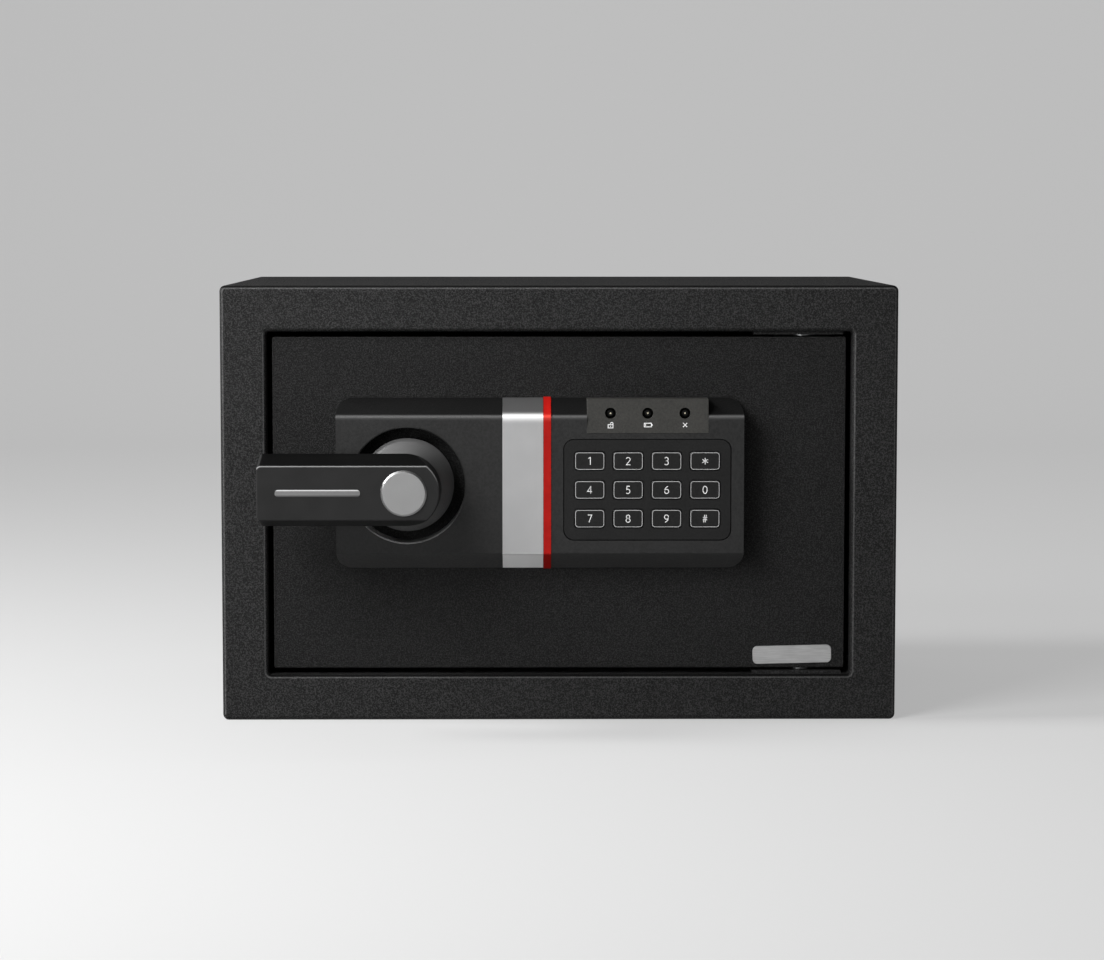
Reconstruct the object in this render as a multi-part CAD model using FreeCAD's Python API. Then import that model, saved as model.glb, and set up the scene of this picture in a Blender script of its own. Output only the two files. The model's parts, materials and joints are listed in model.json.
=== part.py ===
import FreeCAD, Part
import math
import os

from FreeCAD import Vector

# Electronic safe with a lever handle and a keypad, in millimetres.
# +Z is up, the front faces -Y, and the origin is the centre of the underside.

# Steel body
body_width = 310.0
body_height = 200.0
body_depth = 200.0
sheet = 1.5
bend_inner = 0.5
corner_ease = 0.6
frame_border = 21.0
frame_skirt = 6.0
lip_depth = 9.0
opening_corner = 1.5
back_flange = 8.0
anchor_hole_radius = 5.0
anchor_spacing = 180.0
mat_thickness = 3.0
mat_margin = 3.5
mat_corner = 4.0
mat_hole_ease = 3.0

# Door
door_gap = 2.4
door_recess = 5.0
door_thickness = 4.0
door_corner = 1.0
door_edge_round = 0.6
cable_hole_radius = 5.0
cable_hole_inset = 8.0

# Hinges
hinge_inset = 19.6
hinge_setback = 4.0
hinge_pin_radius = 3.0
hinge_collar_radius = 5.5
hinge_plate_sheet = 1.4
hinge_plate_length = 41.0
hinge_plate_lead = 18.0
hinge_plate_start = 3.0
hinge_plate_tail = 8.0
hinge_plate_corner = 4.0
lug_width = 26.0
lug_thickness = 3.0
lug_tail = 5.0
lug_corner = 3.0
lug_leg_width = 7.0
lug_leg_height = 11.6
lug_leg_sheet = 2.5
pin_end = 1.5

# Fascia
fascia_left_share = 0.386
fascia_low_share = 0.6257
fascia_depth = 15.0
fascia_band = 1.2
fascia_chamfer = 8.0
fascia_corner = 7.0
fascia_edge_round = 0.8
fascia_wall = 2.5
fascia_boss_radius = 4.0
fascia_boss_inset = 8.6
fascia_boss_gap = 0.9
screw_radius = 2.0
screw_head_radius = 3.5
screw_head_height = 2.4
screw_bite = 7.0

# Silver strip over the override lock, and the red line beside it
strip_gap = 16.9
strip_width = 18.85
strip_depth = 1.2
red_line_width = 3.4
red_line_proud = 0.4

# Indicator hood and its lamps
hood_inset = 10.8
hood_height = 15.4
hood_proud = 0.2
hood_setback = 1.9
hood_wall = 2.0
lamp_inset = 10.7
lamp_pitch = 16.95
lamp_drop = 6.4
lamp_radius = 2.5
lamp_recess = 0.7
lamp_length = 7.0
lamp_rim = 0.5
lamp_count = 3

# Keypad
keypad_gap = 5.55
keypad_margin = 5.7
keypad_drop = 18.0
keypad_foot = 13.9
keypad_side = 5.15
keypad_end = 5.85
keypad_corner = 5.0
keypad_sunk = 0.3
keypad_groove = 0.4
keypad_flange = 1.5
keypad_flange_thickness = 1.2
keypad_post = 3.4
keypad_post_inset = 2.3
keypad_post_drop = 4.0
key_width = 13.8
key_height = 8.5
key_corner = 1.6
key_edge_bevel = 0.3
key_gap_x = 3.7
key_gap_z = 4.65
key_clearance = 0.25
key_proud = 0.5
key_travel = 0.6
key_skirt = 0.8
key_skirt_thickness = 1.0
key_stem = 3.4
key_stem_length = 0.8
key_rows = (("1", "2", "3", "star"), ("4", "5", "6", "0"), ("7", "8", "9", "hash"))
switch_size = 6.2
switch_height = 3.5
switch_tip = 0.5
board_thickness = 1.6
board_corner = 2.0

# Lever, hub and spindle
well_margin = 6.1
well_radius = 26.3
well_wall = 2.0
well_rim = 0.5
hub_base_radius = 21.2
hub_neck_radius = 16.0
hub_edge_round = 1.0
lever_reach = 65.2
lever_stand_off = 22.0
lever_thickness = 18.0
lever_back_height = 32.5
lever_front_height = 24.2
lever_end_corner = 2.0
lever_end_draft = 0.4
lever_edge_round = 0.7
lever_wall = 3.2
lever_pocket = 12.0
lever_rib = 2.0
cap_radius = 10.2
cap_seat = 1.0
cap_proud = 1.2
cap_bevel = 0.8
inlay_length = 37.7
inlay_width = 3.1
inlay_seat = 0.8
inlay_proud = 0.3
inlay_inset = 8.2
lever_screw_radius = 2.5
lever_screw_head_radius = 4.25
lever_screw_head_height = 4.8
lever_screw_length = 16.0
spindle_radius = 5.0
spindle_lever_bite = 8.0
spindle_square = 7.0
spindle_tail_radius = 3.0
spindle_tail = 2.5
clip_radius = 6.0
clip_thickness = 1.0
bush_radius = 7.0
bush_flange_radius = 10.0
bush_flange = 1.5
bush_tail = 1.0

# Crank, carriage and bolts
lever_turn_degrees = 90.0
crank_radius = 10.0
crank_hub_radius = 9.0
crank_eye_radius = 6.0
crank_thickness = 4.0
crank_pin_radius = 2.5
crank_pin_end = 1.0
crank_pin_play = 0.4
carriage_setback = 3.0
carriage_sheet = 2.5
carriage_flange = 15.0
carriage_end = 9.0
carriage_tail = 29.3
carriage_web = 24.0
carriage_arm_drop = 21.5
carriage_arm_lead = 3.0
carriage_head_rise = 33.0
crank_gap = 1.0
throw_clearance = 1.1
bolt_radius = 7.0
bolt_spread_share = 0.25
bolt_show = 2.0
bolt_chamfer = 1.2
bolt_tail_radius = 3.5
guide_inset = 4.6
guide_sheet = 2.0
guide_leg = 9.0
guide_bolt_gap = 0.5
stud_radius = 3.0
stud_head_radius = 5.5
stud_head_height = 1.5
stud_collar_radius = 5.0
stud_back_step = 10.7
stud_rise = 25.0
stud_drop = 13.4
stud_play = 0.2

# Solenoid and plunger
solenoid_offset = 9.3
solenoid_width = 24.0
solenoid_foot = 7.9
solenoid_frame_sheet = 1.6
solenoid_frame_depth = 20.0
solenoid_drop = 20.0
coil_radius = 8.2
coil_winding_radius = 7.4
coil_flange = 1.2
plunger_radius = 3.0
plunger_clearance = 0.4
plunger_travel = 8.0
plunger_engagement = 2.0
plunger_depth_share = 0.6667
plunger_setback = 11.0
plunger_tip_bevel = 0.6
collar_radius = 5.0
collar_thickness = 1.5
spring_length = 6.0
spring_radius = 4.1
spring_wire_radius = 0.35
spring_turns = 3
spring_wire_sides = 4
slot_play = 0.35

# Override lock behind the strip
lock_head_radius = 8.9
lock_body_radius = 8.0
lock_body_tail = 14.0
lock_face_gap = 0.5
lock_nut_across = 22.0
lock_nut_height = 4.0
plug_radius = 5.0
plug_tail_radius = 3.0
plug_head_radius = 4.5
plug_head_height = 1.0
keyway_width = 1.6
keyway_height = 6.4
keyway_depth = 12.0
tongue_hub_radius = 7.0
tongue_tip_radius = 5.0
tongue_reach = 16.0
tongue_thickness = 2.0

# Inner cover, batteries and reset switch
cover_sheet = 1.2
cover_corner = 3.0
cover_depth = 26.2
cover_margin = 6.6
cover_hinge_gap = 16.0
post_radius = 4.0
post_inset = 22.0
post_margin = 8.0
cell_radius = 7.2
cell_length = 50.0
cell_nub_radius = 2.7
cell_nub = 1.0
cell_gap = 0.3
cell_count = 4
box_wall = 1.6
box_end_room = 2.4
box_rise = 8.0
box_foot = 3.2
box_rail_width = 6.0
box_rail_spread = 17.0
lid_thickness = 2.2
lid_proud = 1.0
lid_corner = 2.5
lid_notch_radius = 5.0
reset_gap = 10.0
reset_drop = 15.0
reset_body_radius = 4.5
reset_rim_radius = 6.0
reset_rim = 1.0
reset_body_depth = 12.0
reset_button_radius = 2.8
reset_button_proud = 2.2
reset_button_depth = 8.0

# Fits
running_fit = 0.05
slide_fit = 0.1
trim_fit = 0.15
body_gap = 0.3
screw_hole_ease = 0.2
overrun = 3.0
along_share = 0.9
round_end_share = 0.9
level_share = 0.001

# Places on the body
half_width = body_width / 2
front_y = -body_depth / 2
back_y = body_depth / 2
skirt_y = front_y + frame_skirt
middle_z = body_height / 2
bend_outer = sheet + bend_inner
wall_corner = bend_outer + corner_ease
body_x = (-half_width, half_width)
body_z = (0, body_height)
inside_x = (-half_width + sheet, half_width - sheet)
inside_z = (sheet, body_height - sheet)
opening_x = (-half_width + frame_border, half_width - frame_border)
opening_z = (frame_border, body_height - frame_border)
anchor_xs = (-anchor_spacing / 2, anchor_spacing / 2)

# Places on the door
door_x = (opening_x[0] + door_gap, opening_x[1] - door_gap)
door_z = (opening_z[0] + door_gap, opening_z[1] - door_gap)
door_front = front_y + door_recess
door_rear = door_front + door_thickness
hinge_x = door_x[1] - hinge_inset
hinge_y = door_rear + hinge_setback

# Size of the keypad and of the fascia that holds it
key_pitch_x = key_width + key_gap_x
key_pitch_z = key_height + key_gap_z
keypad_width = (len(key_rows[0]) - 1) * key_pitch_x + key_width + 2 * keypad_side
keypad_height = (len(key_rows) - 1) * key_pitch_z + key_height + 2 * keypad_end
hood_width = (lamp_count - 1) * lamp_pitch + 2 * lamp_inset
handle_part = well_margin + 2 * well_radius
strip_part = strip_gap + strip_width + red_line_width
fascia_width = handle_part + strip_part + keypad_gap + keypad_width + keypad_margin
fascia_height = keypad_drop + keypad_height + keypad_foot
fascia_boss_drop = keypad_foot - keypad_flange - fascia_boss_gap - fascia_boss_radius

# Places on the fascia
fascia_left = door_x[0] + fascia_left_share * (door_x[1] - door_x[0] - fascia_width)
fascia_low = door_z[0] + fascia_low_share * (door_z[1] - door_z[0] - fascia_height)
fascia_x = (fascia_left, fascia_left + fascia_width)
fascia_z = (fascia_low, fascia_low + fascia_height)
fascia_middle_z = fascia_low + fascia_height / 2
fascia_front = door_front - fascia_depth
fascia_band_y = door_front - fascia_band
fascia_inner = fascia_front + fascia_wall
handle_x = fascia_x[0] + well_margin + well_radius
handle_z = fascia_middle_z
strip_left = handle_x + well_radius + strip_gap
strip_x = (strip_left, strip_left + strip_width)
red_line_x = (strip_x[1], strip_x[1] + red_line_width)
lock_x = (strip_x[0] + strip_x[1]) / 2
lock_z = fascia_middle_z
keypad_x = (red_line_x[1] + keypad_gap, red_line_x[1] + keypad_gap + keypad_width)
keypad_z = (fascia_z[1] - keypad_drop - keypad_height, fascia_z[1] - keypad_drop)
keypad_face = fascia_front + keypad_sunk
keypad_back = fascia_inner + keypad_flange_thickness
hood_x = (keypad_x[0] + hood_inset, keypad_x[0] + hood_inset + hood_width)
hood_z = (fascia_z[1] - hood_height, fascia_z[1])
hood_low_y = fascia_front - hood_proud
hood_top_y = hood_low_y + hood_setback
lamp_z = fascia_z[1] - lamp_drop
lamp_y = hood_low_y + hood_setback * (lamp_z - hood_z[0]) / hood_height
key_face = fascia_front + keypad_sunk - key_proud
key_skirt_y = keypad_back + slide_fit
key_stem_y = key_skirt_y + key_skirt_thickness + key_stem_length
switch_y = key_stem_y + key_travel + slide_fit
board_y = switch_y + switch_tip + switch_height

# Places along the spindle
hub_y = door_front - bush_flange - body_gap
lever_back = fascia_front - lever_stand_off
lever_front = lever_back - lever_thickness
spindle_front = lever_back - spindle_lever_bite
carriage_y = (door_rear + carriage_setback, door_rear + carriage_setback + carriage_sheet)
crank_y = (carriage_y[1] + crank_gap, carriage_y[1] + crank_gap + crank_thickness)

# Inner cover's outline, which the bolts and the solenoid follow
cover_z = (door_z[0] + cover_margin, door_z[1] - cover_margin)

# Travel of the bolts, from the crank's turn
crank_half_turn = math.radians(lever_turn_degrees) / 2
bolt_throw = 2 * crank_radius * math.sin(crank_half_turn)
crank_pin_x = handle_x + crank_radius * math.sin(crank_half_turn)
crank_pin_z = handle_z + crank_radius * math.cos(crank_half_turn)
guide_x = (door_x[0] + guide_inset, door_x[0] + guide_inset + guide_sheet)
carriage_x = (guide_x[1] + bolt_throw + throw_clearance, handle_x + carriage_tail)
bolt_y = door_rear + guide_sheet + guide_bolt_gap + bolt_radius
bolt_spread = bolt_spread_share * (cover_z[1] - cover_z[0])
bolt_zs = (handle_z - bolt_spread, handle_z + bolt_spread)
bolt_tip_x = guide_x[0] - bolt_show
stud_x = handle_x - stud_back_step
stud_zs = (handle_z + stud_rise, handle_z - stud_drop)

# Places on the solenoid
plunger_x = handle_x + solenoid_offset
plunger_y = door_rear + plunger_setback
arm_z = (handle_z - carriage_arm_drop, handle_z - carriage_arm_drop + carriage_sheet)
plunger_tip_z = arm_z[0] + plunger_engagement - plunger_travel
solenoid_z = (cover_z[0] + solenoid_foot, arm_z[0] - solenoid_drop)
plunger_depth = plunger_depth_share * (solenoid_z[1] - solenoid_z[0])
collar_z = solenoid_z[1] + spring_length

# Places on the inner cover
cover_x = (guide_x[0], hinge_x - cover_hinge_gap)
cover_rear = door_rear + cover_depth
cover_inner = cover_rear - cover_sheet
post_xs = (cover_x[0] + post_inset, cover_x[1] - post_margin)
post_zs = (cover_z[0] + post_margin, cover_z[1] - post_margin)
cell_pitch = 2 * cell_radius + cell_gap
box_width = cell_length + cell_nub + 2 * box_end_room + 2 * box_wall
box_height = cell_count * cell_pitch + cell_gap + 2 * box_wall
nut_corner = lock_nut_across / math.sqrt(3)
box_middle_x = (lock_x + nut_corner + cover_x[1] - cover_sheet) / 2
box_x = (box_middle_x - box_width / 2, box_middle_x + box_width / 2)
box_z = (middle_z + box_rise - box_height / 2, middle_z + box_rise + box_height / 2)
lid_x = (box_x[0] + box_wall, box_x[1] - box_wall)
lid_z = (box_z[0] + box_wall, box_z[1] - box_wall)
reset_x = box_x[0] - reset_gap
reset_z = cover_z[1] - reset_drop


# Shapes that the pieces share

def span(limits, grow=0):
    """Limits moved outwards at both ends."""
    return (limits[0] - grow, limits[1] + grow)


def slab(x, y, z):
    """Box between two limits along each axis."""
    return Part.makeBox(x[1] - x[0], y[1] - y[0], z[1] - z[0], Vector(x[0], y[0], z[0]))


def rounded_slab(x, y, z, radius):
    """Box with its four edges along Y rounded."""
    block = slab(x, y, z)
    corners = [edge for edge in block.Edges if abs(edge.tangentAt(edge.FirstParameter).y) > along_share]
    return block.makeFillet(radius, corners)


def rod_y(radius, y, x, z):
    """Round rod along Y."""
    return Part.makeCylinder(radius, y[1] - y[0], Vector(x, y[0], z), Vector(0, 1, 0))


def rod_z(radius, z, x, y):
    """Round rod along Z."""
    return Part.makeCylinder(radius, z[1] - z[0], Vector(x, y, z[0]), Vector(0, 0, 1))


def rod_x(radius, x, y, z):
    """Round rod along X."""
    return Part.makeCylinder(radius, x[1] - x[0], Vector(x[0], y, z), Vector(1, 0, 0))


def edges_at_y(shape, y):
    """Edges that lie in the plane at y."""
    flat = body_depth * level_share
    return [edge for edge in shape.Edges
            if abs(edge.BoundBox.YMin - y) < flat and abs(edge.BoundBox.YMax - y) < flat]


def extruded_x(points, x):
    """Outline of (y, z) points carried along X."""
    corners = [Vector(x[0], y, z) for y, z in points]
    face = Part.Face(Part.makePolygon(corners + corners[:1]))
    return face.extrude(Vector(x[1] - x[0], 0, 0))


def extruded_y(points, y):
    """Outline of (x, z) points carried along Y."""
    corners = [Vector(x, y[0], z) for x, z in points]
    face = Part.Face(Part.makePolygon(corners + corners[:1]))
    return face.extrude(Vector(0, y[1] - y[0], 0))


def turned_about_y(points, x, z):
    """Outline of (radius, y) points turned about an axis along Y."""
    corners = [Vector(x + radius, y, z) for radius, y in points]
    face = Part.Face(Part.makePolygon(corners + corners[:1]))
    return face.revolve(Vector(x, 0, z), Vector(0, 1, 0), 360)


def turned_about_z(points, x, y):
    """Outline of (radius, z) points turned about an axis along Z."""
    corners = [Vector(x + radius, y, z) for radius, z in points]
    face = Part.Face(Part.makePolygon(corners + corners[:1]))
    return face.revolve(Vector(x, y, 0), Vector(0, 0, 1), 360)


def link(y, first, first_radius, second, second_radius):
    """Flat link whose sides run tangent from one round end to the other."""
    along = Vector(second[0] - first[0], 0, second[1] - first[1])
    reach = along.Length
    along.normalize()
    across = Vector(-along.z, 0, along.x)
    lean = (first_radius - second_radius) / reach
    square = math.sqrt(1 - lean * lean)
    points = []
    for centre, radius, side in ((first, first_radius, 1), (second, second_radius, 1),
                                 (second, second_radius, -1), (first, first_radius, -1)):
        normal = along * lean + across * (side * square)
        points.append((centre[0] + radius * normal.x, centre[1] + radius * normal.z))
    ends = [rod_y(first_radius, y, *first), rod_y(second_radius, y, *second)]
    return extruded_y(points, y).multiFuse(ends).removeSplitter()


def both_hinges(lower):
    """The lower hinge's piece and its mirror image at the top."""
    upper = lower.mirror(Vector(0, 0, middle_z), Vector(0, 0, 1))
    return Part.makeCompound([lower, upper])


# Steel body

def body_wrap():
    wrap = rounded_slab(body_x, (skirt_y, back_y), body_z, wall_corner)
    room = rounded_slab(inside_x, span((skirt_y, back_y), overrun), inside_z, wall_corner - sheet)
    wrap = wrap.cut(room)
    for x in anchor_xs:
        wrap = wrap.cut(rod_z(anchor_hole_radius, span((0, sheet), overrun), x, 0))
    return wrap


def front_frame():
    frame = rounded_slab(body_x, (front_y, skirt_y), body_z, wall_corner)
    frame = frame.makeFillet(bend_outer, edges_at_y(frame, front_y))
    behind_flange = (front_y + sheet, skirt_y + overrun)
    frame = frame.cut(rounded_slab(inside_x, behind_flange, inside_z, wall_corner - sheet))
    lip_x = span(opening_x, sheet)
    lip_z = span(opening_z, sheet)
    lips = rounded_slab(lip_x, (front_y, front_y + lip_depth), lip_z, opening_corner + sheet)
    through = span((front_y, front_y + lip_depth), overrun)
    frame = frame.fuse(lips).removeSplitter()
    frame = frame.cut(rounded_slab(opening_x, through, opening_z, opening_corner))
    reach = opening_x[1] + sheet / 2
    rim = [edge for edge in edges_at_y(frame, front_y)
           if max(abs(edge.BoundBox.XMin), abs(edge.BoundBox.XMax)) < reach]
    return frame.makeFillet(bend_outer, rim)


def back_panel():
    deep = (back_y - back_flange, back_y)
    panel = rounded_slab(inside_x, deep, inside_z, wall_corner)
    panel = panel.makeFillet(bend_inner, edges_at_y(panel, back_y))
    room_y = (deep[0] - overrun, back_y - sheet)
    room = rounded_slab(span(inside_x, -sheet), room_y, span(inside_z, -sheet), wall_corner - sheet)
    panel = panel.cut(room)
    for x in anchor_xs:
        panel = panel.cut(rod_y(anchor_hole_radius, span((back_y - sheet, back_y), overrun), x, middle_z))
    return panel


def floor_mat():
    y = (skirt_y + mat_margin, back_y - back_flange - mat_margin)
    z = (sheet, sheet + mat_thickness)
    mat = slab(span(inside_x, -mat_margin), y, z)
    corners = [edge for edge in mat.Edges if abs(edge.tangentAt(edge.FirstParameter).z) > along_share]
    mat = mat.makeFillet(mat_corner, corners)
    for x in anchor_xs:
        mat = mat.cut(rod_z(anchor_hole_radius + mat_hole_ease, span(z, overrun), x, 0))
    return mat


def hinge_plates():
    x = (hinge_x + hinge_plate_lead - hinge_plate_length, hinge_x + hinge_plate_lead)
    y = (front_y + hinge_plate_start, hinge_y + hinge_plate_tail)
    z = (opening_z[0], opening_z[0] + hinge_plate_sheet)
    plate = slab(x, y, z)
    rear = [edge for edge in plate.Edges
            if abs(edge.tangentAt(edge.FirstParameter).z) > along_share and edge.BoundBox.YMin > hinge_y]
    plate = plate.makeFillet(hinge_plate_corner, rear)
    return both_hinges(plate.cut(rod_z(hinge_pin_radius, span(z, overrun), hinge_x, hinge_y)))


def hinge_pins():
    collar_top = door_z[0] - body_gap
    pin = rod_z(hinge_pin_radius, (opening_z[0], door_z[0] + lug_thickness + pin_end), hinge_x, hinge_y)
    collar = rod_z(hinge_collar_radius, (opening_z[0] + hinge_plate_sheet, collar_top), hinge_x, hinge_y)
    return both_hinges(pin.fuse(collar).removeSplitter())


# Door and fascia

def door_plate():
    plate = rounded_slab(door_x, (door_front, door_rear), door_z, door_corner)
    plate = plate.makeFillet(door_edge_round, edges_at_y(plate, door_front))
    through = span((door_front, door_rear), overrun)
    plate = plate.cut(rod_y(bush_radius, through, handle_x, handle_z))
    plate = plate.cut(rod_y(lock_body_radius + slide_fit, through, lock_x, lock_z))
    plate = plate.cut(rod_y(cable_hole_radius, through, keypad_x[0] + cable_hole_inset, handle_z))
    for x, z in fascia_boss_places():
        plate = plate.cut(rod_y(screw_radius + screw_hole_ease, through, x, z))
    return plate


def door_lugs():
    x = (hinge_x - lug_width / 2, hinge_x + lug_width / 2)
    z = (door_z[0], door_z[0] + lug_thickness)
    tab = slab(x, (door_rear, hinge_y + lug_tail), z)
    rear = [edge for edge in tab.Edges
            if abs(edge.tangentAt(edge.FirstParameter).z) > along_share and edge.BoundBox.YMin > hinge_y]
    tab = tab.makeFillet(lug_corner, rear)
    leg_y = (door_rear, door_rear + lug_leg_sheet)
    leg_z = (z[0], z[1] + lug_leg_height)
    legs = [slab((x[0], x[0] + lug_leg_width), leg_y, leg_z),
            slab((x[1] - lug_leg_width, x[1]), leg_y, leg_z)]
    lug = tab.multiFuse(legs).removeSplitter()
    return both_hinges(lug.cut(rod_z(hinge_pin_radius + running_fit, span(z, overrun), hinge_x, hinge_y)))


def fascia_section(grow, rear):
    """Corners of the fascia's section, moved outwards by grow, back to the rear plane."""
    run = fascia_depth - fascia_band
    slope = math.hypot(run, fascia_chamfer)
    band_y = fascia_band_y - grow * (slope - run) / fascia_chamfer
    crest = fascia_chamfer - grow * (slope - fascia_chamfer) / run
    low, high = fascia_z
    return ((rear, high + grow), (band_y, high + grow), (fascia_front - grow, high - crest),
            (fascia_front - grow, low + crest), (band_y, low - grow), (rear, low - grow))


def fascia_form(grow, rear, x):
    """The fascia's section carried along X, with its two front edges rounded."""
    form = extruded_x(fascia_section(grow, rear), x)
    radius = fascia_edge_round + grow
    if radius <= 0:
        return form
    long_edges = [edge for edge in edges_at_y(form, fascia_front - grow)
                  if abs(edge.tangentAt(edge.FirstParameter).x) > along_share]
    return form.makeFillet(radius, long_edges)


def fascia_layer(x, outer, inner):
    """What lies between two offsets of the fascia's section, over a width."""
    core = fascia_form(-inner, door_front + overrun, span(x, overrun))
    return fascia_form(outer, door_front, x).cut(core)


def fascia_boss_places():
    """Centres of the four screw bosses, clear of the well, the keypad and the hood."""
    xs = (fascia_x[0] + fascia_boss_inset, fascia_x[1] - fascia_boss_inset)
    zs = (fascia_z[0] + fascia_boss_drop, fascia_z[1] - fascia_boss_drop)
    return [(x, z) for x in xs for z in zs]


def fascia():
    outline_y = span((fascia_front, door_front), overrun)
    block = fascia_form(0, door_front, fascia_x)
    block = block.common(rounded_slab(fascia_x, outline_y, fascia_z, fascia_corner))
    room = fascia_form(-fascia_wall, door_front + overrun, span(fascia_x, -fascia_wall))
    inner_corner = fascia_corner - fascia_wall
    room = room.common(rounded_slab(span(fascia_x, -fascia_wall), outline_y,
                                    span(fascia_z, -fascia_wall), inner_corner))
    full_y = (fascia_front, door_front)
    inserts = [rod_y(fascia_boss_radius, full_y, x, z) for x, z in fascia_boss_places()]
    inserts.append(rod_y(well_radius + well_wall, full_y, handle_x, handle_z))
    solid = block.cut(room).multiFuse([insert.common(block) for insert in inserts]).removeSplitter()
    cuts = [rod_y(screw_radius, (door_front - screw_bite, door_front + overrun), x, z)
            for x, z in fascia_boss_places()]
    mouth = fascia_front - overrun
    well = ((0, mouth), (well_radius + well_rim + overrun, mouth), (well_radius, fascia_front + well_rim),
            (well_radius, outline_y[1]), (0, outline_y[1]))
    cuts.append(turned_about_y(well, handle_x, handle_z))
    cuts.append(fascia_layer((strip_x[0], red_line_x[1]), overrun, strip_depth))
    cuts.append(rod_y(lock_head_radius + body_gap, outline_y, lock_x, lock_z))
    cuts.append(slab(hood_x, (fascia_front - overrun, fascia_band_y), (hood_z[0], hood_z[1] + overrun)))
    cuts.append(rounded_slab(keypad_x, (fascia_front - overrun, fascia_inner + overrun), keypad_z,
                             keypad_corner))
    return solid.cut(cuts).removeSplitter()


def fascia_screws():
    screws = []
    for x, z in fascia_boss_places():
        shank = rod_y(screw_radius, (door_front - screw_bite, door_rear), x, z)
        head = rod_y(screw_head_radius, (door_rear, door_rear + screw_head_height), x, z)
        screws.append(shank.fuse(head).removeSplitter())
    return Part.makeCompound(screws)


def red_line():
    return fascia_layer(red_line_x, red_line_proud, strip_depth)


def key_cover():
    x = span(strip_x, -trim_fit)
    clear = slab(span(x, overrun), (door_front - body_gap, door_front + overrun), span(fascia_z, overrun))
    return fascia_layer(x, 0, strip_depth).cut(clear)


def indicator_hood():
    outer = ((fascia_band_y, hood_z[1]), (hood_top_y, hood_z[1]),
             (hood_low_y, hood_z[0]), (fascia_band_y, hood_z[0]))
    inner_z = span(hood_z, -hood_wall)
    rear = fascia_band_y + overrun
    lean = hood_setback * hood_wall / hood_height
    inner = ((rear, inner_z[1]), (hood_top_y + hood_wall - lean, inner_z[1]),
             (hood_low_y + hood_wall + lean, inner_z[0]), (rear, inner_z[0]))
    hood = extruded_x(outer, hood_x).cut(extruded_x(inner, span(hood_x, -hood_wall)))
    holes = [rod_y(lamp_radius, (lamp_y - overrun, lamp_y + hood_wall + overrun), x, lamp_z)
             for x in lamp_places()]
    return hood.cut(holes)


def lamp_places():
    return [hood_x[0] + lamp_inset + index * lamp_pitch for index in range(lamp_count)]


def indicator_leds():
    """Lamps with a domed tip, held by a rim behind the hood's face."""
    lamps = []
    seat = lamp_y + hood_wall + hood_setback * (lamp_radius + lamp_rim) / hood_height
    tip = lamp_y + lamp_recess
    shoulder = tip + lamp_radius / 2
    for x in lamp_places():
        outline = ((0, tip), (lamp_radius / 2, tip), (lamp_radius, shoulder), (lamp_radius, seat),
                   (lamp_radius + lamp_rim, seat), (lamp_radius + lamp_rim, tip + lamp_length),
                   (0, tip + lamp_length))
        lamps.append(turned_about_y(outline, x, lamp_z))
    return Part.makeCompound(lamps)


# Keypad

def key_places():
    """Name, x and z of each key."""
    across = (len(key_rows[0]) - 1) * key_pitch_x
    down = (len(key_rows) - 1) * key_pitch_z
    left = (keypad_x[0] + keypad_x[1] - across) / 2
    top = (keypad_z[0] + keypad_z[1] + down) / 2
    return [(name, left + column * key_pitch_x, top - row * key_pitch_z)
            for row, names in enumerate(key_rows) for column, name in enumerate(names)]


def key_outline(x, z, grow, y, radius):
    """Rounded key outline between two depths."""
    half_x = key_width / 2 + grow
    half_z = key_height / 2 + grow
    return rounded_slab((x - half_x, x + half_x), y, (z - half_z, z + half_z), radius)


def key_block(x, z, half_x, y, half_z):
    """Plain block behind a key."""
    return slab((x - half_x, x + half_x), y, (z - half_z, z + half_z))


def post_places():
    xs = (keypad_x[0] + keypad_post_inset, keypad_x[1] - keypad_post_inset)
    zs = (keypad_z[0] + keypad_post_drop, keypad_z[1] - keypad_post_drop)
    return [(x, z) for x in xs for z in zs]


def keypad_plate():
    face = rounded_slab(span(keypad_x, -keypad_groove), (keypad_face, fascia_inner),
                        span(keypad_z, -keypad_groove), keypad_corner - keypad_groove)
    flange = rounded_slab(span(keypad_x, keypad_flange), (fascia_inner, keypad_back),
                          span(keypad_z, keypad_flange), keypad_corner)
    pieces = [flange]
    half = keypad_post / 2
    for x, z in post_places():
        pieces.append(slab((x - half, x + half), (keypad_back, board_y), (z - half, z + half)))
    plate = face.multiFuse(pieces).removeSplitter()
    through = span((keypad_face, keypad_back), overrun)
    return plate.cut([key_outline(x, z, key_clearance, through, key_corner + key_clearance)
                      for name, x, z in key_places()])


def key_cap(x, z):
    cap = key_outline(x, z, 0, (key_face, key_skirt_y), key_corner)
    cap = cap.makeChamfer(key_edge_bevel, edges_at_y(cap, key_face))
    skirt_end = key_skirt_y + key_skirt_thickness
    skirt = key_block(x, z, key_width / 2 + key_skirt, (key_skirt_y, skirt_end), key_height / 2 + key_skirt)
    stem = key_block(x, z, key_stem / 2, (skirt_end, key_stem_y), key_stem / 2)
    return cap.multiFuse([skirt, stem]).removeSplitter()


def key_switches():
    switches = []
    for name, x, z in key_places():
        case = key_block(x, z, switch_size / 2, (switch_y + switch_tip, board_y), switch_size / 2)
        tip = key_block(x, z, key_stem / 2, (switch_y, switch_y + switch_tip), key_stem / 2)
        switches.append(case.fuse(tip).removeSplitter())
    return Part.makeCompound(switches)


def circuit_board():
    return rounded_slab(keypad_x, (board_y, board_y + board_thickness), keypad_z, board_corner)


# Lever and spindle

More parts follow.
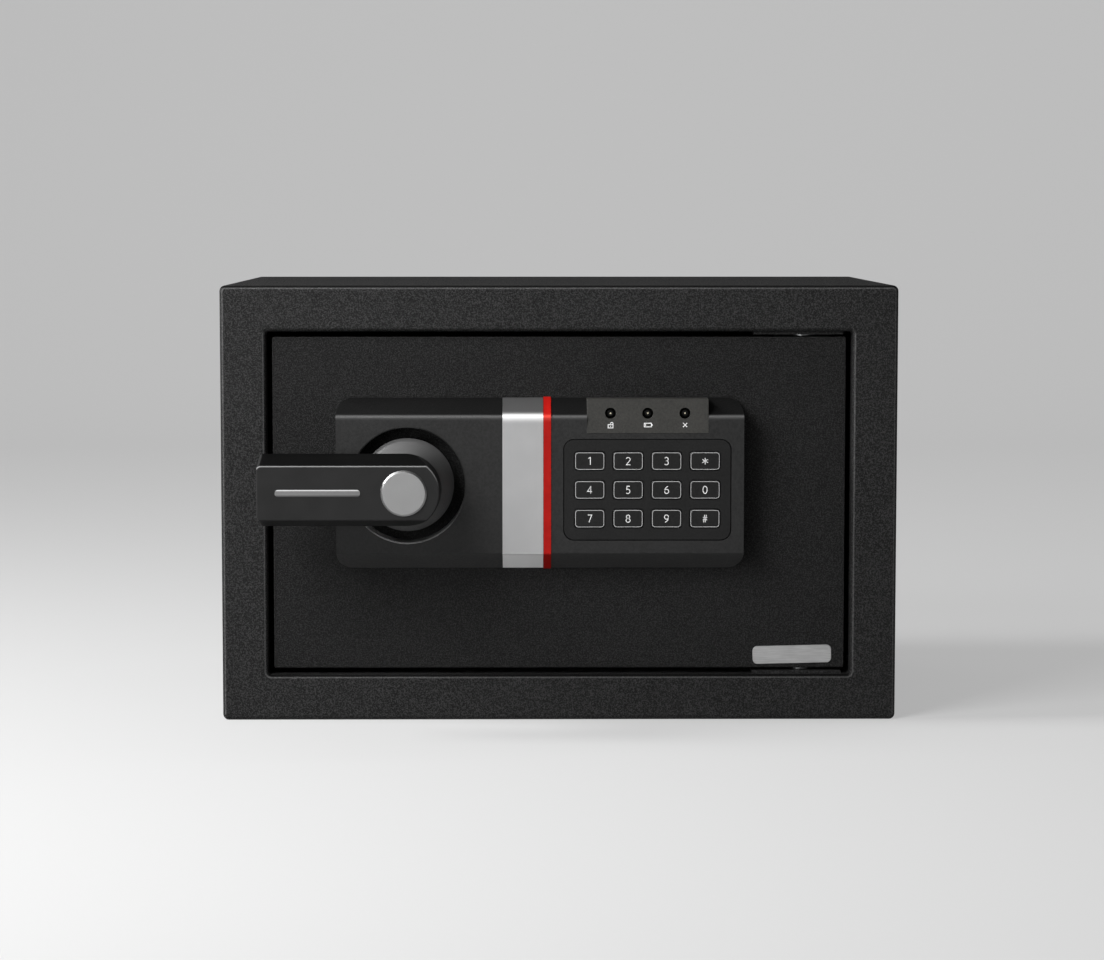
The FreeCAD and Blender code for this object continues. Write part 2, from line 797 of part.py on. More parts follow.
def lever():
    half_back = lever_back_height / 2
    half_front = lever_front_height / 2
    tip = handle_x - lever_reach
    root = handle_x + half_back
    section = ((lever_back, handle_z - half_back), (lever_front, handle_z - half_front),
               (lever_front, handle_z + half_front), (lever_back, handle_z + half_back))
    bar = extruded_x(section, (tip, root))
    y = (lever_front, lever_back)
    round_end = ((0, lever_front), (half_back - lever_end_draft, lever_front), (half_back, lever_back),
                 (0, lever_back))
    outline = turned_about_y(round_end, handle_x, handle_z)
    outline = outline.fuse(slab((tip, handle_x), y, (handle_z - half_back, handle_z + half_back)))
    bar = bar.common(outline.removeSplitter())
    tip_edges = [edge for edge in bar.Edges
                 if abs(edge.BoundBox.XMax - tip) < lever_end_corner and edge.BoundBox.YLength > half_back]
    bar = bar.makeFillet(lever_end_corner, tip_edges)
    bar = bar.makeFillet(lever_edge_round, edges_at_y(bar, lever_front))
    head_seat = lever_screw_seat()
    cuts = [rod_y(spindle_radius, (spindle_front, lever_back + overrun), handle_x, handle_z),
            rod_y(cap_radius, (lever_front - overrun, lever_front + cap_seat), handle_x, handle_z),
            rod_y(lever_screw_head_radius + screw_hole_ease, (lever_front, head_seat), handle_x, handle_z),
            rod_y(lever_screw_radius, (head_seat, spindle_front), handle_x, handle_z),
            inlay_bar((lever_front - overrun, lever_front + inlay_seat))]
    return bar.cut(cuts + lever_pockets())


def lever_pockets():
    """Two hollows in the lever's back, either side of a rib."""
    floor = lever_back - lever_pocket
    lean = (lever_back_height - lever_front_height) / 2 / lever_thickness
    half_mouth = lever_back_height / 2 - lever_wall
    half_floor = half_mouth - lean * lever_pocket
    half_over = half_mouth + lean * overrun
    section = ((lever_back + overrun, handle_z - half_over), (floor, handle_z - half_floor),
               (floor, handle_z + half_floor), (lever_back + overrun, handle_z + half_over))
    left = handle_x - lever_reach + lever_wall
    right = handle_x - hub_neck_radius - lever_wall
    rib = (left + right) / 2
    return [extruded_x(section, (left, rib - lever_rib / 2)), extruded_x(section, (rib + lever_rib / 2, right))]


def lever_screw_seat():
    return lever_front + cap_seat + lever_screw_head_height


def inlay_bar(y):
    """Round-ended bar on the lever's face."""
    radius = inlay_width / 2
    left = handle_x - lever_reach + inlay_inset
    x = (left, left + inlay_length)
    return rounded_slab(x, y, (handle_z - radius, handle_z + radius), radius * round_end_share)


def lever_strip():
    return inlay_bar((lever_front - inlay_proud, lever_front + inlay_seat))


def lever_cap():
    face = lever_front - cap_proud
    back = lever_front + cap_seat
    outline = ((0, face), (cap_radius - cap_bevel, face), (cap_radius, face + cap_bevel),
               (cap_radius, back), (0, back))
    return turned_about_y(outline, handle_x, handle_z)


def lever_hub():
    outline = ((spindle_radius, hub_y), (hub_base_radius - hub_edge_round, hub_y),
               (hub_base_radius, hub_y - hub_edge_round), (hub_neck_radius, lever_back),
               (spindle_radius, lever_back))
    return turned_about_y(outline, handle_x, handle_z)


def lever_screw():
    seat = lever_screw_seat()
    head = rod_y(lever_screw_head_radius, (lever_front + cap_seat, seat), handle_x, handle_z)
    shank = rod_y(lever_screw_radius, (seat, seat + lever_screw_length), handle_x, handle_z)
    return head.fuse(shank).removeSplitter()


def spindle():
    shaft = rod_y(spindle_radius, (spindle_front, crank_y[0]), handle_x, handle_z)
    half = spindle_square / 2
    square = slab((handle_x - half, handle_x + half), crank_y, (handle_z - half, handle_z + half))
    tail = rod_y(spindle_tail_radius, (crank_y[1], crank_y[1] + spindle_tail), handle_x, handle_z)
    shaft = shaft.multiFuse([square, tail]).removeSplitter()
    thread_end = lever_screw_seat() + lever_screw_length
    return shaft.cut(rod_y(lever_screw_radius, (spindle_front - overrun, thread_end), handle_x, handle_z))


def spindle_clip():
    y = (crank_y[1], crank_y[1] + clip_thickness)
    ring = rod_y(clip_radius, y, handle_x, handle_z)
    return ring.cut(rod_y(spindle_tail_radius, span(y, overrun), handle_x, handle_z))


def spindle_bush():
    flange = rod_y(bush_flange_radius, (door_front - bush_flange, door_front), handle_x, handle_z)
    sleeve = rod_y(bush_radius, (door_front - bush_flange, door_rear + bush_tail), handle_x, handle_z)
    bore_y = span((door_front - bush_flange, door_rear + bush_tail), overrun)
    bush = flange.fuse(sleeve).removeSplitter()
    return bush.cut(rod_y(spindle_radius + running_fit, bore_y, handle_x, handle_z))


# Crank, carriage and bolts

def crank():
    arm = link(crank_y, (handle_x, handle_z), crank_hub_radius,
               (crank_pin_x, crank_pin_z), crank_eye_radius)
    half = spindle_square / 2
    through = span(crank_y, overrun)
    square = slab((handle_x - half, handle_x + half), through, (handle_z - half, handle_z + half))
    return arm.cut([square, rod_y(crank_pin_radius, through, crank_pin_x, crank_pin_z)])


def crank_pin():
    return rod_y(crank_pin_radius, (carriage_y[0] - crank_pin_end, crank_y[1]), crank_pin_x, crank_pin_z)


def carriage_slots():
    """Cuts for the spindle, the crank pin and the two studs, long enough for the throw."""
    through = span(carriage_y, overrun)
    spindle_room = spindle_radius + body_gap
    pin_room = crank_pin_radius + crank_pin_play
    crest = handle_z + crank_radius + pin_room
    cuts = [slab((handle_x - spindle_room, handle_x + bolt_throw + spindle_room), through,
                 (handle_z - spindle_room, handle_z + spindle_room)),
            slab((crank_pin_x - pin_room, crank_pin_x + pin_room), through, (handle_z, crest))]
    stud_room = stud_radius + stud_play
    for z in stud_zs:
        x = (stud_x - stud_room, stud_x + bolt_throw + stud_room)
        cuts.append(rounded_slab(x, through, (z - stud_room, z + stud_room), stud_radius))
    return cuts


def plunger_slot():
    """Opening in the carriage's arm that stands over the plunger once the bolts are thrown."""
    entry_share = 1 - plunger_engagement / plunger_travel
    room = plunger_radius + slot_play
    x = (plunger_x + entry_share * bolt_throw - room, plunger_x + bolt_throw + room)
    y = (plunger_y - room, plunger_y + room)
    return x, slab(x, y, span(arm_z, overrun))


def bolt_carriage():
    left, right = carriage_x
    low = bolt_zs[0] - carriage_end
    high = bolt_zs[1] + carriage_end
    step_z = handle_z + carriage_head_rise
    web = left + carriage_web
    plate = extruded_y(((left, low), (web, low), (web, arm_z[0]), (right, arm_z[0]),
                        (right, step_z), (web, high), (left, high)), carriage_y)
    flange = slab((left, left + carriage_sheet), (carriage_y[0], carriage_y[0] + carriage_flange), (low, high))
    slot_x, slot = plunger_slot()
    arm_x = (plunger_x - collar_radius - carriage_arm_lead, slot_x[1] + carriage_arm_lead)
    arm = slab(arm_x, (carriage_y[0], carriage_y[0] + carriage_flange), arm_z)
    carriage = plate.multiFuse([flange, arm]).removeSplitter()
    cuts = carriage_slots() + [slot]
    flange_x = span((left, left + carriage_sheet), overrun)
    cuts += [rod_x(bolt_tail_radius, flange_x, bolt_y, z) for z in bolt_zs]
    return carriage.cut(cuts)


def lock_bolts():
    bolts = []
    left = carriage_x[0]
    back = left + carriage_sheet
    for z in bolt_zs:
        shank = rod_x(bolt_radius, (bolt_tip_x, left), bolt_y, z)
        tip_edges = [edge for edge in shank.Edges if edge.BoundBox.XMax < bolt_tip_x + bolt_chamfer]
        shank = shank.makeChamfer(bolt_chamfer, tip_edges)
        tail = rod_x(bolt_tail_radius, (left, back), bolt_y, z)
        bolts.append(shank.fuse(tail).removeSplitter())
    return Part.makeCompound(bolts)


def bolt_guide():
    z = span(cover_z, -cover_sheet)
    flange = slab(guide_x, (door_rear, cover_inner), z)
    leg = slab((guide_x[0], guide_x[0] + guide_leg), (door_rear, door_rear + guide_sheet), z)
    guide = flange.fuse(leg).removeSplitter()
    through = span(guide_x, overrun)
    return guide.cut([rod_x(bolt_radius + slide_fit, through, bolt_y, bolt_z) for bolt_z in bolt_zs])


def carriage_studs():
    studs = []
    for z in stud_zs:
        back = carriage_y[1] + stud_play
        collar = rod_y(stud_collar_radius, (door_rear, carriage_y[0] - stud_play), stud_x, z)
        shank = rod_y(stud_radius, (door_rear, back + stud_head_height), stud_x, z)
        head = rod_y(stud_head_radius, (back, back + stud_head_height), stud_x, z)
        studs.append(collar.multiFuse([shank, head]).removeSplitter())
    return Part.makeCompound(studs)


# Solenoid

def solenoid_frame():
    half = solenoid_width / 2
    x = (plunger_x - half, plunger_x + half)
    deep = (door_rear, door_rear + solenoid_frame_depth)
    frame = slab(x, deep, solenoid_z)
    room_y = (door_rear + solenoid_frame_sheet, deep[1] + overrun)
    frame = frame.cut(slab(span(x, overrun), room_y, span(solenoid_z, -solenoid_frame_sheet)))
    top = span((solenoid_z[1] - solenoid_frame_sheet, solenoid_z[1]), overrun)
    return frame.cut(rod_z(plunger_radius + plunger_clearance, top, plunger_x, plunger_y))


def solenoid_coil():
    low, high = span(solenoid_z, -solenoid_frame_sheet)
    bore = plunger_radius + plunger_clearance
    outline = ((bore, low), (coil_radius, low), (coil_radius, low + coil_flange),
               (coil_winding_radius, low + coil_flange), (coil_winding_radius, high - coil_flange),
               (coil_radius, high - coil_flange), (coil_radius, high), (bore, high))
    return turned_about_z(outline, plunger_x, plunger_y)


def solenoid_plunger():
    low = solenoid_z[1] - plunger_depth
    collar_top = collar_z + collar_thickness
    outline = ((0, low), (plunger_radius, low), (plunger_radius, collar_z), (collar_radius, collar_z),
               (collar_radius, collar_top), (plunger_radius, collar_top),
               (plunger_radius, plunger_tip_z - plunger_tip_bevel),
               (plunger_radius - plunger_tip_bevel, plunger_tip_z), (0, plunger_tip_z))
    return turned_about_z(outline, plunger_x, plunger_y)


def arc_from(start, heading, end):
    """Arc that leaves start along heading and reaches end."""
    chord = end - start
    middle = start + chord * (1 / 2)
    unit = Vector(chord)
    unit.normalize()
    aside = heading - unit * heading.dot(unit)
    turn = math.atan2(aside.Length, heading.dot(unit))
    aside.normalize()
    rise = chord.Length / 2 * math.tan(turn / 2)
    return Part.Arc(start, middle + aside * rise, end).toShape()


def biarc(start, heading, end, arrival):
    """Two arcs that join smoothly and take up both headings."""
    chord = end - start
    both = heading + arrival
    bend = 2 * (1 - heading.dot(arrival))
    along = chord.dot(both)
    reach = (math.sqrt(along * along + bend * chord.dot(chord)) - along) / bend
    joint = (start + end + (heading - arrival) * reach) * (1 / 2)
    first = arc_from(start, heading, joint)
    return [first, arc_from(joint, first.tangentAt(first.LastParameter), end)]


def plunger_spring():
    """Open coil between the solenoid's frame and the plunger's collar."""
    height = spring_length - 2 * spring_wire_radius
    base_z = solenoid_z[1] + spring_wire_radius
    steps = 4 * spring_turns
    climb = height / (2 * math.pi * spring_turns)

    def place(index):
        angle = 2 * math.pi * index / 4
        ring = Vector(math.cos(angle), math.sin(angle), 0) * spring_radius
        heading = Vector(-math.sin(angle) * spring_radius, math.cos(angle) * spring_radius, climb)
        heading.normalize()
        return Vector(plunger_x, plunger_y, base_z + height * index / steps) + ring, heading

    edges = []
    for index in range(steps):
        start, heading = place(index)
        end, arrival = place(index + 1)
        edges += biarc(start, heading, end, arrival)
    start, heading = place(0)
    outward = (start - Vector(plunger_x, plunger_y, start.z)) * (1 / spring_radius)
    upward = outward.cross(heading)
    corners = []
    for side in range(spring_wire_sides):
        angle = 2 * math.pi * side / spring_wire_sides
        corners.append(start + (outward * math.cos(angle) + upward * math.sin(angle)) * spring_wire_radius)
    section = Part.makePolygon(corners + corners[:1])
    return Part.Wire(edges).makePipeShell([section], True, False)


# Override lock

def override_lock_body():
    face = fascia_front + strip_depth + lock_face_gap
    tail = door_rear + lock_body_tail
    head = rod_y(lock_head_radius, (face, door_front), lock_x, lock_z)
    barrel = rod_y(lock_body_radius, (face, tail), lock_x, lock_z)
    return head.fuse(barrel).removeSplitter().cut(
        rod_y(plug_radius + running_fit, span((face, tail), overrun), lock_x, lock_z))


def override_lock_nut():
    y = (door_rear, door_rear + lock_nut_height)
    turns = [math.pi * side / 3 for side in range(6)]
    points = [(lock_x + nut_corner * math.cos(turn), lock_z + nut_corner * math.sin(turn)) for turn in turns]
    return extruded_y(points, y).cut(rod_y(lock_body_radius, span(y, overrun), lock_x, lock_z))


def tongue_y():
    front = door_rear + lock_body_tail + body_gap
    return (front, front + tongue_thickness)


def override_plug():
    face = fascia_front + strip_depth + lock_face_gap
    front, back = tongue_y()
    plug = rod_y(plug_radius, (face, front), lock_x, lock_z)
    tail = rod_y(plug_tail_radius, (front, back), lock_x, lock_z)
    head = rod_y(plug_head_radius, (back, back + plug_head_height), lock_x, lock_z)
    keyway = slab((lock_x - keyway_width / 2, lock_x + keyway_width / 2), (face - overrun, face + keyway_depth),
                  (lock_z - keyway_height / 2, lock_z + keyway_height / 2))
    return plug.multiFuse([tail, head]).removeSplitter().cut(keyway)


def override_tongue():
    y = tongue_y()
    tongue = link(y, (lock_x, lock_z), tongue_hub_radius, (lock_x, lock_z - tongue_reach), tongue_tip_radius)
    return tongue.cut(rod_y(plug_tail_radius, span(y, overrun), lock_x, lock_z))


# Inner cover, batteries and reset switch

def inner_cover():
    shell = slab(cover_x, (door_rear, cover_rear), cover_z)
    bends = [edge for edge in shell.Edges
             if edge.BoundBox.YMin > cover_inner and edge.BoundBox.XMax > cover_x[0] + cover_sheet]
    bends += [edge for edge in shell.Edges
              if edge.BoundBox.XMin > cover_x[0] and edge.BoundBox.YMin < cover_inner
              and edge.BoundBox.YMax > cover_inner]
    shell = shell.makeFillet(cover_corner, bends)
    inner_corner = cover_corner - cover_sheet
    room_x = (cover_x[0] - overrun, cover_x[1] - cover_sheet)
    room = slab(room_x, (door_rear - overrun, cover_inner), span(cover_z, -cover_sheet))
    room_bends = [edge for edge in room.Edges if edge.BoundBox.XMin > cover_x[0]]
    room_bends = [edge for edge in room_bends if edge.BoundBox.YMax > cover_inner - inner_corner]
    room = room.makeFillet(inner_corner, room_bends)
    through = span((cover_inner, cover_rear), overrun)
    cuts = [room, rounded_slab(span(lid_x, body_gap), through, span(lid_z, body_gap), lid_corner),
            rod_y(reset_body_radius, through, reset_x, reset_z)]
    cuts += [rod_y(screw_radius + screw_hole_ease, through, x, z) for x in post_xs for z in post_zs]
    return shell.cut(cuts)


def cover_posts():
    posts = []
    for x in post_xs:
        for z in post_zs:
            post = rod_y(post_radius, (door_rear, cover_inner), x, z)
            posts.append(post.cut(rod_y(screw_radius, (cover_inner - screw_bite, cover_inner + overrun), x, z)))
    return Part.makeCompound(posts)


def cover_screws():
    screws = []
    for x in post_xs:
        for z in post_zs:
            head = rod_y(screw_head_radius, (cover_rear, cover_rear + screw_head_height), x, z)
            rim = edges_at_y(head, cover_rear + screw_head_height)
            head = head.makeChamfer(screw_head_height / 2, rim)
            shank = rod_y(screw_radius, (cover_inner - screw_bite, cover_rear), x, z)
            screws.append(head.fuse(shank).removeSplitter())
    return Part.makeCompound(screws)


def battery_box():
    """Open tray on two rails, which clear the fascia's screws."""
    floor = door_rear + box_foot
    tray = slab(box_x, (floor, cover_inner - body_gap), box_z)
    tray = tray.cut(slab(span(box_x, -box_wall), (floor + box_wall, cover_inner + overrun),
                         span(box_z, -box_wall)))
    left = box_middle_x - box_rail_spread - box_rail_width
    right = box_middle_x + box_rail_spread
    rails = [slab((x, x + box_rail_width), (door_rear, floor), box_z) for x in (left, right)]
    return tray.multiFuse(rails).removeSplitter()


def batteries():
    """Four cells side by side, every other one turned round."""
    cells = []
    axis_y = door_rear + box_foot + box_wall + cell_radius
    middle_x = (box_x[0] + box_x[1]) / 2
    left = middle_x - (cell_length + cell_nub) / 2
    for index in range(cell_count):
        z = box_z[0] + box_wall + cell_gap + cell_radius + index * cell_pitch
        can = rod_x(cell_radius, (left, left + cell_length), axis_y, z)
        nub = rod_x(cell_nub_radius, (left + cell_length, left + cell_length + cell_nub), axis_y, z)
        cell = can.fuse(nub).removeSplitter()
        if index % 2:
            cell = cell.mirror(Vector(middle_x, 0, 0), Vector(1, 0, 0))
        cells.append(cell)
    return Part.makeCompound(cells)


def battery_cover():
    y = (cover_rear - lid_thickness + lid_proud, cover_rear + lid_proud)
    lid = rounded_slab(lid_x, y, lid_z, lid_corner)
    return lid.cut(rod_y(lid_notch_radius, span(y, overrun), (lid_x[0] + lid_x[1]) / 2, lid_z[0]))


def reset_switch():
    rim = rod_y(reset_rim_radius, (cover_rear, cover_rear + reset_rim), reset_x, reset_z)
    case = rod_y(reset_body_radius, (cover_rear - reset_body_depth, cover_rear), reset_x, reset_z)
    switch = rim.fuse(case).removeSplitter()
    bore = (cover_rear - reset_button_depth, cover_rear + reset_rim + overrun)
    return switch.cut(rod_y(reset_button_radius + slide_fit, bore, reset_x, reset_z))


def reset_button():
    rest = cover_rear + reset_rim + reset_button_proud
    return rod_y(reset_button_radius, (rest - reset_button_depth, rest), reset_x, reset_z)


# Export

PIECES = (
    body_wrap, front_frame, back_panel, floor_mat, hinge_plates, hinge_pins,
    door_plate, door_lugs, fascia, fascia_screws, red_line, indicator_hood, indicator_leds,
    keypad_plate, key_switches, circuit_board, key_cover,
    lever, lever_strip, lever_cap, lever_hub, lever_screw, spindle, spindle_clip, spindle_bush,
    crank, crank_pin, bolt_carriage, lock_bolts, bolt_guide, carriage_studs,
    solenoid_frame, solenoid_coil, solenoid_plunger, plunger_spring,
    override_lock_body, override_lock_nut, override_plug, override_tongue,
    inner_cover, cover_posts, cover_screws, battery_box, batteries, battery_cover,
    reset_switch, reset_button,
)


def main():
    os.makedirs("parts", exist_ok=True)
    shapes = {piece.__name__: piece() for piece in PIECES}
    for name, x, z in key_places():
        shapes["key_" + name] = key_cap(x, z)
    for name, shape in shapes.items():
        shape.exportStep("parts/" + name + ".step")


main()
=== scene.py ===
import json
import math

import bmesh
import bpy
from mathutils import Matrix, Vector, noise

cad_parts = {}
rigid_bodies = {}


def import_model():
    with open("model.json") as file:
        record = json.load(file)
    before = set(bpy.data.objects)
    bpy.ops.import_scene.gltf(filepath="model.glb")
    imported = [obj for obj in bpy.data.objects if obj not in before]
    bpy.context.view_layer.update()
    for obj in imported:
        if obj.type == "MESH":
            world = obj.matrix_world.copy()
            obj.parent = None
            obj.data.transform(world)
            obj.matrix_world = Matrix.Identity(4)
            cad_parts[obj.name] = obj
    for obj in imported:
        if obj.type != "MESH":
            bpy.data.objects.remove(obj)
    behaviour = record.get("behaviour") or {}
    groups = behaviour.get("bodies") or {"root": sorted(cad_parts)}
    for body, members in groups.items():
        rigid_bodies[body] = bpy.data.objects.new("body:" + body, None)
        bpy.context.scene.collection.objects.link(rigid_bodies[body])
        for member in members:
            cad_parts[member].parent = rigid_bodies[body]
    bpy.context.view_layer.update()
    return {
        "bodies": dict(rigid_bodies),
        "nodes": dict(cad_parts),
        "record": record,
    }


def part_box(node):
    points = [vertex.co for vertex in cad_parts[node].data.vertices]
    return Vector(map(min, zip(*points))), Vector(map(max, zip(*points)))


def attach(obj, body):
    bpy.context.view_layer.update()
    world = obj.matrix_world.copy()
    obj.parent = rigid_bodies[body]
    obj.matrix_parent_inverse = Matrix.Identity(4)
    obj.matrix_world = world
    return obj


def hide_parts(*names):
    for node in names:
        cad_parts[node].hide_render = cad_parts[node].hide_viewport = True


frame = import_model()

# Electronic safe with a lever handle and a keypad, in metres.
# The front faces -Y. Places come from the frame's boxes and meshes.

# Camera, found from the outlines of the front
camera_place = (-0.0145, -1.5141, 0.2325)
camera_tilt = 85.09
camera_turn = -0.453
camera_lens = 101.0
sensor_width = 36.0

# Studio. Each lamp has its place, its size, the point that it looks at, and its power in watts.
floor_front = -20.0
floor_back = 1.6
floor_half_width = 20.0
sweep_radius = 0.9
sweep_steps = 24
wall_height = 3.0
floor_colour = "b0b0b0"
floor_bounce_colour = "848484"
floor_glow = 0.96
floor_glow_share = 0.42
floor_shine_height = 0.02
world_light = 0.1
white = (1, 1, 1, 1)
studio_lamps = (
    ("front_softbox", (-1.20, -2.40, 0.12), (1.8, 0.9), (0, 0, 0.1), 18.0),
    ("key_softbox", (-0.46, -0.66, 0.60), (0.45, 0.45), (0, 0, 0.12), 8.2),
    ("kicker_strip", (-1.00, -0.14, 0.85), (0.25, 0.60), (0, -0.1, 0.1), 17.0),
    ("side_fill", (1.4, -2.2, 0.7), (1.0, 1.2), (0, 0, 0.1), 1.5),
    ("wall_wash", (0, 0.9, 2.4), (2.4, 0.5), (0, 2.5, 0.5), 12.0),
)

# Prints on the keys and beside the lamps. A point within the reach of a face lies on it.
print_rise = 0.00004
face_reach = 0.00004
outline_margin = 0.00005
outline_line = 0.00025
outline_corner = 0.0014
outline_steps = 6
sign_height = 0.0037
sign_line = 0.00035
sign_middle = Vector((0.3, 0.5))
star_arm_share = 0.44
star_angles = (30, 90, 150)
icon_size = 0.0026
icon_line = 0.00034
icon_drop = 0.0053
mitre_limit = 0.5

# Painted reflection: a pale dot in each lamp
glint_radius = 0.00035

# Fascia and lever: the painted shade, black, inside the handle's well and the width of the painted highlight
# on
# # its rim, the drop of the fascia's slopes, the height of the slopes' normals, and the share of it that
# tells a
# # slope from the round beside it
well_radius = 0.0262
well_rim = 0.0007
fascia_drop = 0.0077
fascia_slope = 0.865
lever_slope = 0.974
slope_share = 0.95

# Painted highlights along the fascia's edges, as their reach below and above the edge
fascia_highlight_reach = (0.0024, 0.0011)
red_highlight_reach = (0.0034, 0.0016)
strip_highlight_reach = (0.0042, 0.0026)
strip_low_highlight_reach = (0.0012, 0.0012)

# Finishes: the Y below which a normal looks to the front, the part of a normal where a face starts to
# slant, the samples of a softened edge, and the stops that sharpen a grain
front_limit = -0.3
slant_limit = -0.1
edge_samples = 4
pebble_stops = ((0.42, 0.0), (0.72, 1.0))
flake_stops = ((0.42, 0.0), (0.66, 1.0))
pit_stops = ((0.32, 0.0), (0.68, 1.0))

# How far a normal has turned on the powder coat's painted highlight and painted dark line along its edges:
# start, full, fading and end
edge_highlight_turn = (-0.995, -0.96, -0.93, -0.8)
dark_edge_turn = (0.45, 0.65, 0.95, 0.99)

# Turned hub under the lever: its widest ring sits just inside the well
hub_ring_radius = 0.0212
hub_neck_radius = 0.0160
hub_stem_radius = 0.0165
hub_ring_depth = 0.0032
hub_ring_height = 0.0026
hub_ring_round = 0.0004
hub_sides = 96

# Blank plate on the door
tag_width = 0.0364
tag_height = 0.0084
tag_corner = 0.0023
tag_thickness = 0.0004
tag_bevel = 0.00012
tag_bevel_steps = 2
tag_inset = 0.0240
tag_rise = 0.0063
tag_tilt = 1.3

# Felt on the floor, with the lengths of its waves and of its fuzz
felt_cells = (150, 92)
felt_wave = 0.00025
felt_wave_length = 0.035
felt_fuzz = 0.00012
felt_fuzz_length = 0.0022
felt_hole = 0.008
felt_edge_share = 1.5
anchor_reach = 0.09

# Cells in the battery box
cell_count = 4
cell_band_share = 0.3

# Screws that hold the inner cover, with a cross recess
screw_head_radius = 0.0035
screw_head_height = 0.0024
screw_shank_radius = 0.002
recess_width = 0.0008
recess_length = 0.0038
recess_depth = 0.0013
screw_sides = 32
screw_rings = 16

# Grip ribs on the battery lid
rib_count = 5
rib_width = 0.014
rib_radius = 0.0006
rib_pitch = 0.0022
rib_sides = 12
ribs_rise = 0.011

# Points nearer than this are one point
weld_gap = 0.000001


# Node trees

class Value:
    """An output socket. Sums on it add Math nodes to its tree."""

    def __init__(self, tree, socket):
        self.tree = tree
        self.socket = socket

    def __add__(self, other):
        return self.tree.maths("ADD", self, other)

    def __radd__(self, other):
        return self.tree.maths("ADD", other, self)

    def __sub__(self, other):
        return self.tree.maths("SUBTRACT", self, other)

    def __rsub__(self, other):
        return self.tree.maths("SUBTRACT", other, self)

    def __mul__(self, other):
        return self.tree.maths("MULTIPLY", self, other)

    def __rmul__(self, other):
        return self.tree.maths("MULTIPLY", other, self)

    def __truediv__(self, other):
        return self.tree.maths("DIVIDE", self, other)

    def __rtruediv__(self, other):
        return self.tree.maths("DIVIDE", other, self)

    def over(self, other):
        return self.tree.maths("GREATER_THAN", self, other)

    def under(self, other):
        return self.tree.maths("LESS_THAN", self, other)


class Tree:
    """A node tree that is filled through one method."""

    def __init__(self, node_tree):
        self.node_tree = node_tree

    def node(self, kind, settings=None, inputs=None, output=0):
        """Add a node, set it, then feed its sockets with values or links."""
        made = self.node_tree.nodes.new(kind)
        for name, value in (settings or {}).items():
            if name == "stops":
                fill_ramp(made.color_ramp, value)
            else:
                setattr(made, name, value)
        for key, value in (inputs or {}).items():
            for part in value if isinstance(value, list) else [value]:
                if isinstance(part, Value):
                    self.node_tree.links.new(part.socket, made.inputs[key])
                else:
                    made.inputs[key].default_value = part
        return Value(self, made.outputs[output]) if made.outputs else None

    def maths(self, operation, first, second=0.0):
        """Math node on one or two values."""
        return self.node("ShaderNodeMath", {"operation": operation}, {0: first, 1: second})


def fill_ramp(ramp, stops):
    """Give a colour ramp its stops, as (position, grey level) pairs."""
    while len(ramp.elements) < len(stops):
        ramp.elements.new(1.0)
    for element, (position, level) in zip(ramp.elements, stops):
        element.position = position
        element.color = (level, level, level, 1.0)


def linear(code):
    """Linear colour of an sRGB hex code."""
    levels = [int(code[start:start + 2], 16) / 255 for start in (0, 2, 4)]
    curve = [level / 12.92 if level <= 0.04045 else ((level + 0.055) / 1.055) ** 2.4 for level in levels]
    return (*curve, 1.0)


